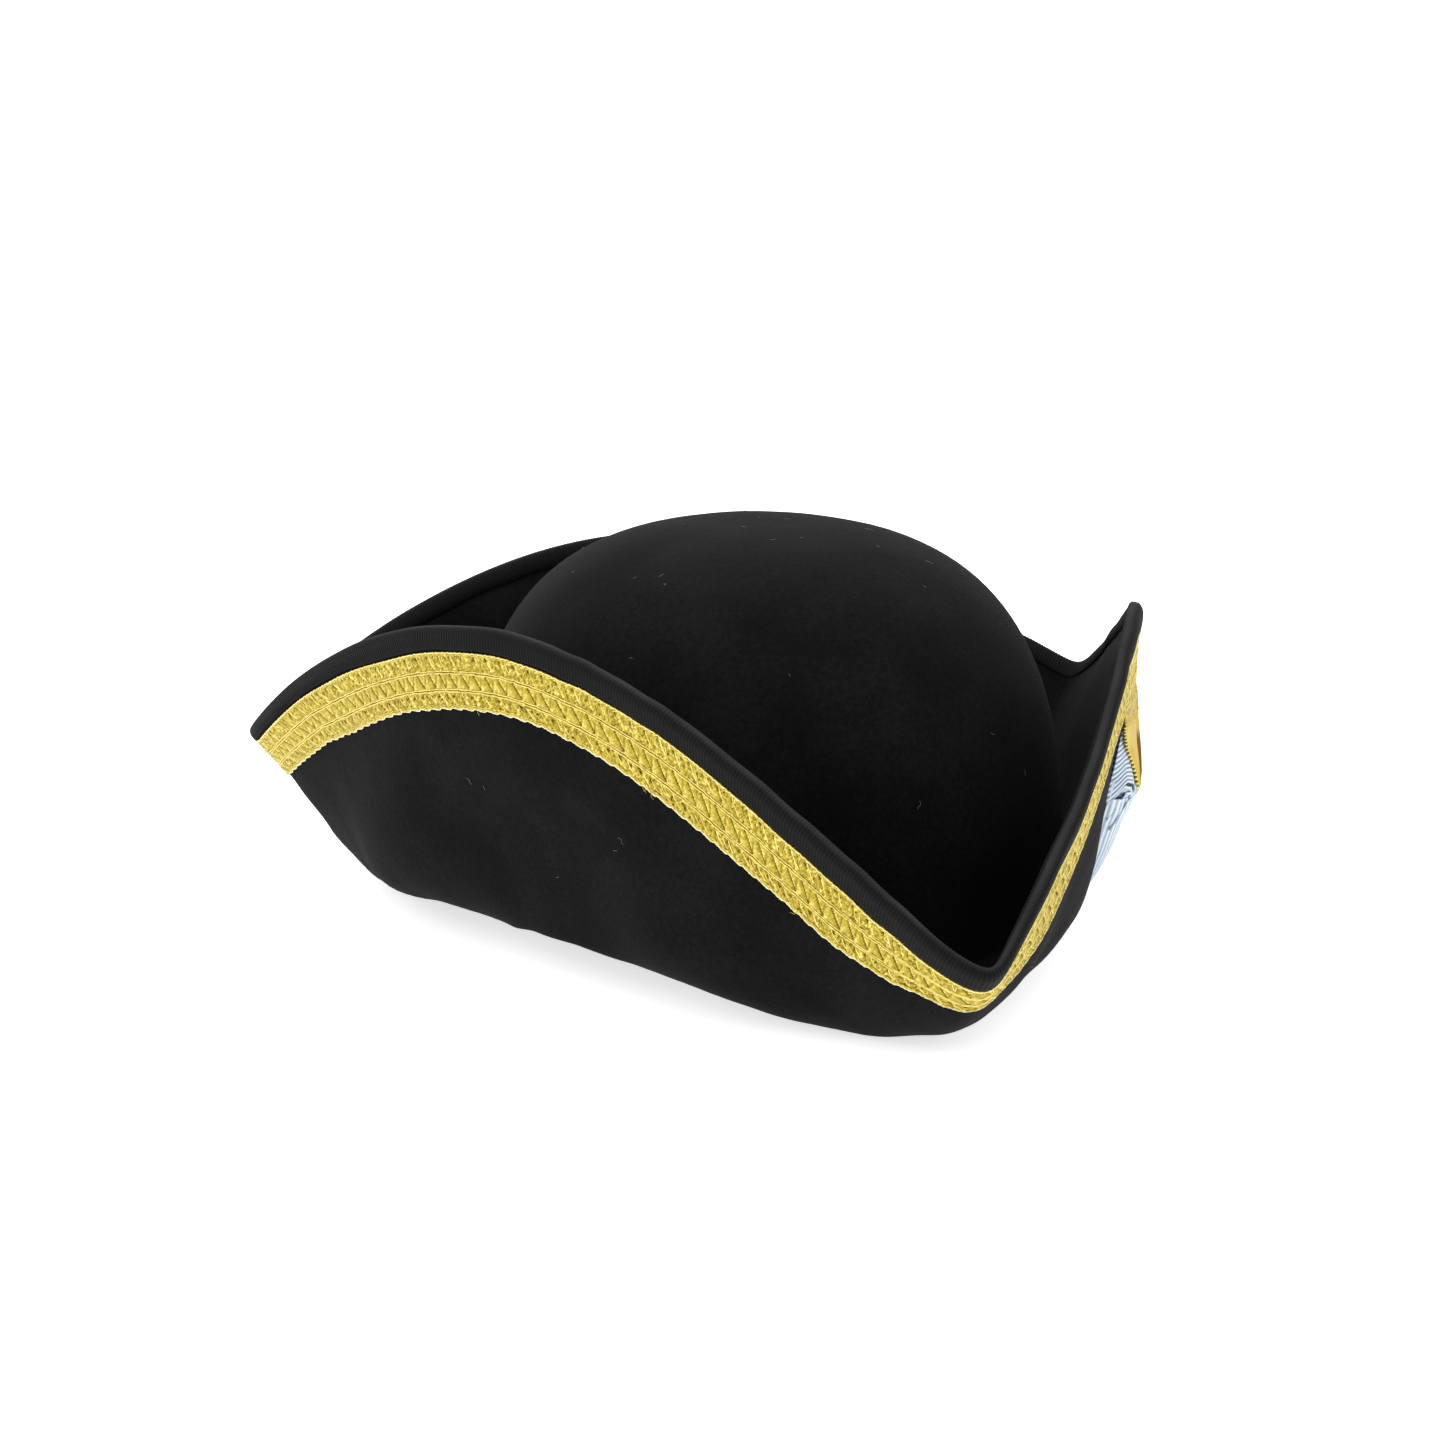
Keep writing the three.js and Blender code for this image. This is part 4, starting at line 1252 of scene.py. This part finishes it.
# The pinched knot: ribbon wound tight over the middle, with a waist where the strap holds it
def makeKnot():
    t = 2 * np.pi * np.arange(knot["columns"]) / knot["columns"]
    across = np.linspace(-1, 1, knot["rows"])[:, None]
    ridge = np.cos(9 * np.pi * across)
    girth = 1 - knot["waist"] * (1 - np.abs(across) ** 1.6)
    size = girth * (1 - np.abs(across) ** 6) ** 0.5 * (1 + 0.06 * ridge)
    (up, high), (wide, tall) = knot["centre"], knot["thick"]
    rearwards = knot["half"] * across + 0.3 * np.sin(t)
    points, _ = onPanel(rearwards, up + wide * size * np.sin(t), high + tall * size * np.cos(t))
    shade = 0.5 + 0.5 * ridge + 0 * t
    uv = clothUv(np.linspace(0, 18, knot["columns"] + 1), np.linspace(0, 6, knot["rows"]))
    return clothMesh("cockadeKnot", points, uv, True, False, {"shade": shade, "deep": 0 * shade})


# Pale blue grosgrain of silk-like rayon: thick ribs that gleam on top, with painted slate blue
# shade between them
def paleGrosgrain():
    material, tree = newMaterial("pale blue grosgrain ribbon")
    shade = addNode(tree, "Attribute", {"attribute_name": "shade"})
    deep = addNode(tree, "Attribute", {"attribute_name": "deep"})
    patches = addNode(tree, "TexNoise", {"Scale": perMetre(cockade["patch"]), "Detail": 3.0},
                      {"Vector": (addNode(tree, "TexCoord"), "Object")})
    thread = addNode(tree, "Math", {"operation": "MULTIPLY_ADD", 1: 0.15, "use_clamp": True},
                     {0: (patches, "Fac"), 2: (shade, "Fac")})
    ribbed = addNode(tree, "Mix", {"data_type": "RGBA", 6: cockade["between"], 7: cockade["ribbon"]},
                     {0: (thread, "Value")})
    # Painted shade deep in the gathered folds and inside the loops, where little light comes in
    colour = addNode(tree, "Mix", {"data_type": "RGBA", 7: cockade["gatherShade"]},
                     {0: (deep, "Fac"), 6: (ribbed, 2)})
    warp = addNode(tree, "TexWave",
                   {"wave_type": "BANDS", "bands_direction": "Y", "Scale": waveScale(cockade["warp"]),
                    "Distortion": 0.6},
                   {"Vector": (addNode(tree, "UVMap", {"uv_map": "clothMm"}), "UV")})
    finish = {"Roughness": 0.5, "Specular IOR Level": 0.25, "Sheen Weight": 0.05, "Sheen Roughness": 0.35}
    return finishMaterial(material, colour, finish, {"Strength": 0.3, "Distance": 0.00008},
                          {"Height": (warp, "Fac")})


paleRibbon = paleGrosgrain()
for name, loop in loops.items():
    piece = makeLoop(name, loop)
    finishPiece(piece, paleRibbon)
    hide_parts(loop["node"])
for name, fold in folds.items():
    finishPiece(makeFold(name, fold), paleRibbon)
knotPiece = makeKnot()
finishPiece(knotPiece, paleRibbon)
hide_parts("cockade_knot")
print("cockade ready")

# Gold strap: satin ribbon with beaded edges, from the braid over the upper loop to the knot. It
# is listed at distances from the cockade's centre towards the brim's edge. Edge is the height of
# its front edge over the felt, and crest that of its highest fold.
strap = {
    "out": (-3, 0, 4, 12, 20, 27, 29.5),
    "crest": (9.5, 10.0, 9.2, 6.6, 3.8, 1.7, 0.6),
    "edge": (8.7, 9.0, 7.2, 3.2, 1.2, 0.5, 0.3),
    "frontHalf": (1.2, 1.3, 2.9, 8.5, 14.5, 20.0, 22.0),
    "rearHalf": (1.2, 1.3, 2.6, 6.0, 9.0, 10.5, 10.5),
    "length": 34,
    "halfThickness": 0.2,
    "knottedTo": (0.36, 0.249),  # shares of its length between which the knotted thread begins
    "grain": 0.13,
    "beadsFrom": 0.2,  # share of its length, from the braid
    "beadSpacing": 1.5,
    "beadRadius": 0.5,
    "beadSwell": 0.28,
    "bright": "#C9B140",
    "deep": "#9A7F1A",
    "shaded": "#6A4208",
    "float": 0.5,
    "floatLength": 8.3,
}


def strapShape(t, b):
    out = mix(strap["out"][-1], strap["out"][0], t)
    crest, edge, front, rear = [
        np.interp(out, strap["out"], strap[key]) for key in ("crest", "edge", "frontHalf", "rearHalf")]
    # Its rear half stands over the front half, with a shaded fold between them
    over = np.interp(b, [-1, -0.1, 0.12, 0.55, 1], [0, 0.68, 0.5, 1, -0.35])
    return np.where(b < 0, front, rear) * b, out + 0 * b, mix(edge, crest, over)


def makeStrap():
    t = np.linspace(0, 1, 160)[None]
    b = np.linspace(-1, 1, 33)[:, None]
    middle, face = onPanel(*strapShape(t, b))
    normal = clothNormal(middle, face)
    # By the braid it is worked over with knotted thread
    grain = chance.normal(0, 1, (b + t).shape) * ramp(t, *strap["knottedTo"])
    thick = strap["halfThickness"]
    proud = np.clip(thick + 0.03 * np.cos(b * 14) + strap["grain"] * grain, 0.08, 0.6)[..., None]
    points = np.concatenate([middle + normal * proud, (middle - normal * thick)[::-1]])
    down, up = np.linspace(0, 10, b.size), np.linspace(10, 0, b.size)
    uv = clothUv(np.linspace(0, strap["length"], t.size), np.concatenate([down, up, [0]]))
    # Painted shade in the fold between its halves and on its underside, with dark specks in the knotted
    # thread
    fold = ramp(b, 0.05, 0.17) * ramp(b, 0.6, 0.5) * ramp(t, 0.38, 0.505) * ramp(t, 0.9, 0.8)
    dark = np.maximum(fold, 0.8 * (grain < -1.1))
    marks = {"fold": np.concatenate([dark, np.full(dark.shape, 0.6)])}
    return clothMesh("goldStrap", points, uv, False, True, marks)


def makeStrapCords():
    t = np.linspace(strap["beadsFrom"], 1, 190)[None]
    rearwards, upwards, height = strapShape(t, np.array([[-1.0], [1.0]]))
    lines, face = onPanel(rearwards, upwards, height + 0.05)
    bead = np.cos(2 * np.pi * t * strap["length"] / strap["beadSpacing"])
    radius = strap["beadRadius"] * (1 + strap["beadSwell"] * bead)
    return threadMesh("goldStrapCords", lines, face, radius, 8, False, {"shade": 0.45 + 0.5 * bead})


# Gold satin: long floats of gilt thread lie side by side, so it gleams in streaks along the ribbon.
# The streaks are painted into its colour as lighter and darker gleam.
def goldSatin():
    material, tree = newMaterial("gold satin ribbon")
    scale = (1 / strap["floatLength"], 1 / strap["float"], 1)
    stretched = addNode(tree, "Mapping", {"Scale": scale},
                        {"Vector": (addNode(tree, "UVMap", {"uv_map": "clothMm"}), "UV")})
    streaks = addNode(tree, "TexNoise", {"Scale": 1.0, "Detail": 3.0}, {"Vector": (stretched, "Vector")})
    satin = addNode(tree, "Mix", {"data_type": "RGBA", 6: strap["deep"], 7: strap["bright"]},
                    {0: (streaks, "Fac")})
    # Painted shade in the fold and underside
    fold = addNode(tree, "Attribute", {"attribute_name": "fold"})
    colour = addNode(tree, "Mix", {"data_type": "RGBA", 7: strap["shaded"]},
                     {0: (fold, "Fac"), 6: (satin, 2)})
    finish = {"Metallic": 0.4, "Roughness": 0.42, "Specular IOR Level": 0.15, "Anisotropic": 0.4}
    return finishMaterial(material, colour, finish, {"Strength": 0.4, "Distance": 0.0001},
                          {"Height": (streaks, "Fac")})


strapPiece = makeStrap()
finishPiece(strapPiece, goldSatin())
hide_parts("gold_strap")
finishPiece(makeStrapCords(), giltCord)
print("strap ready")
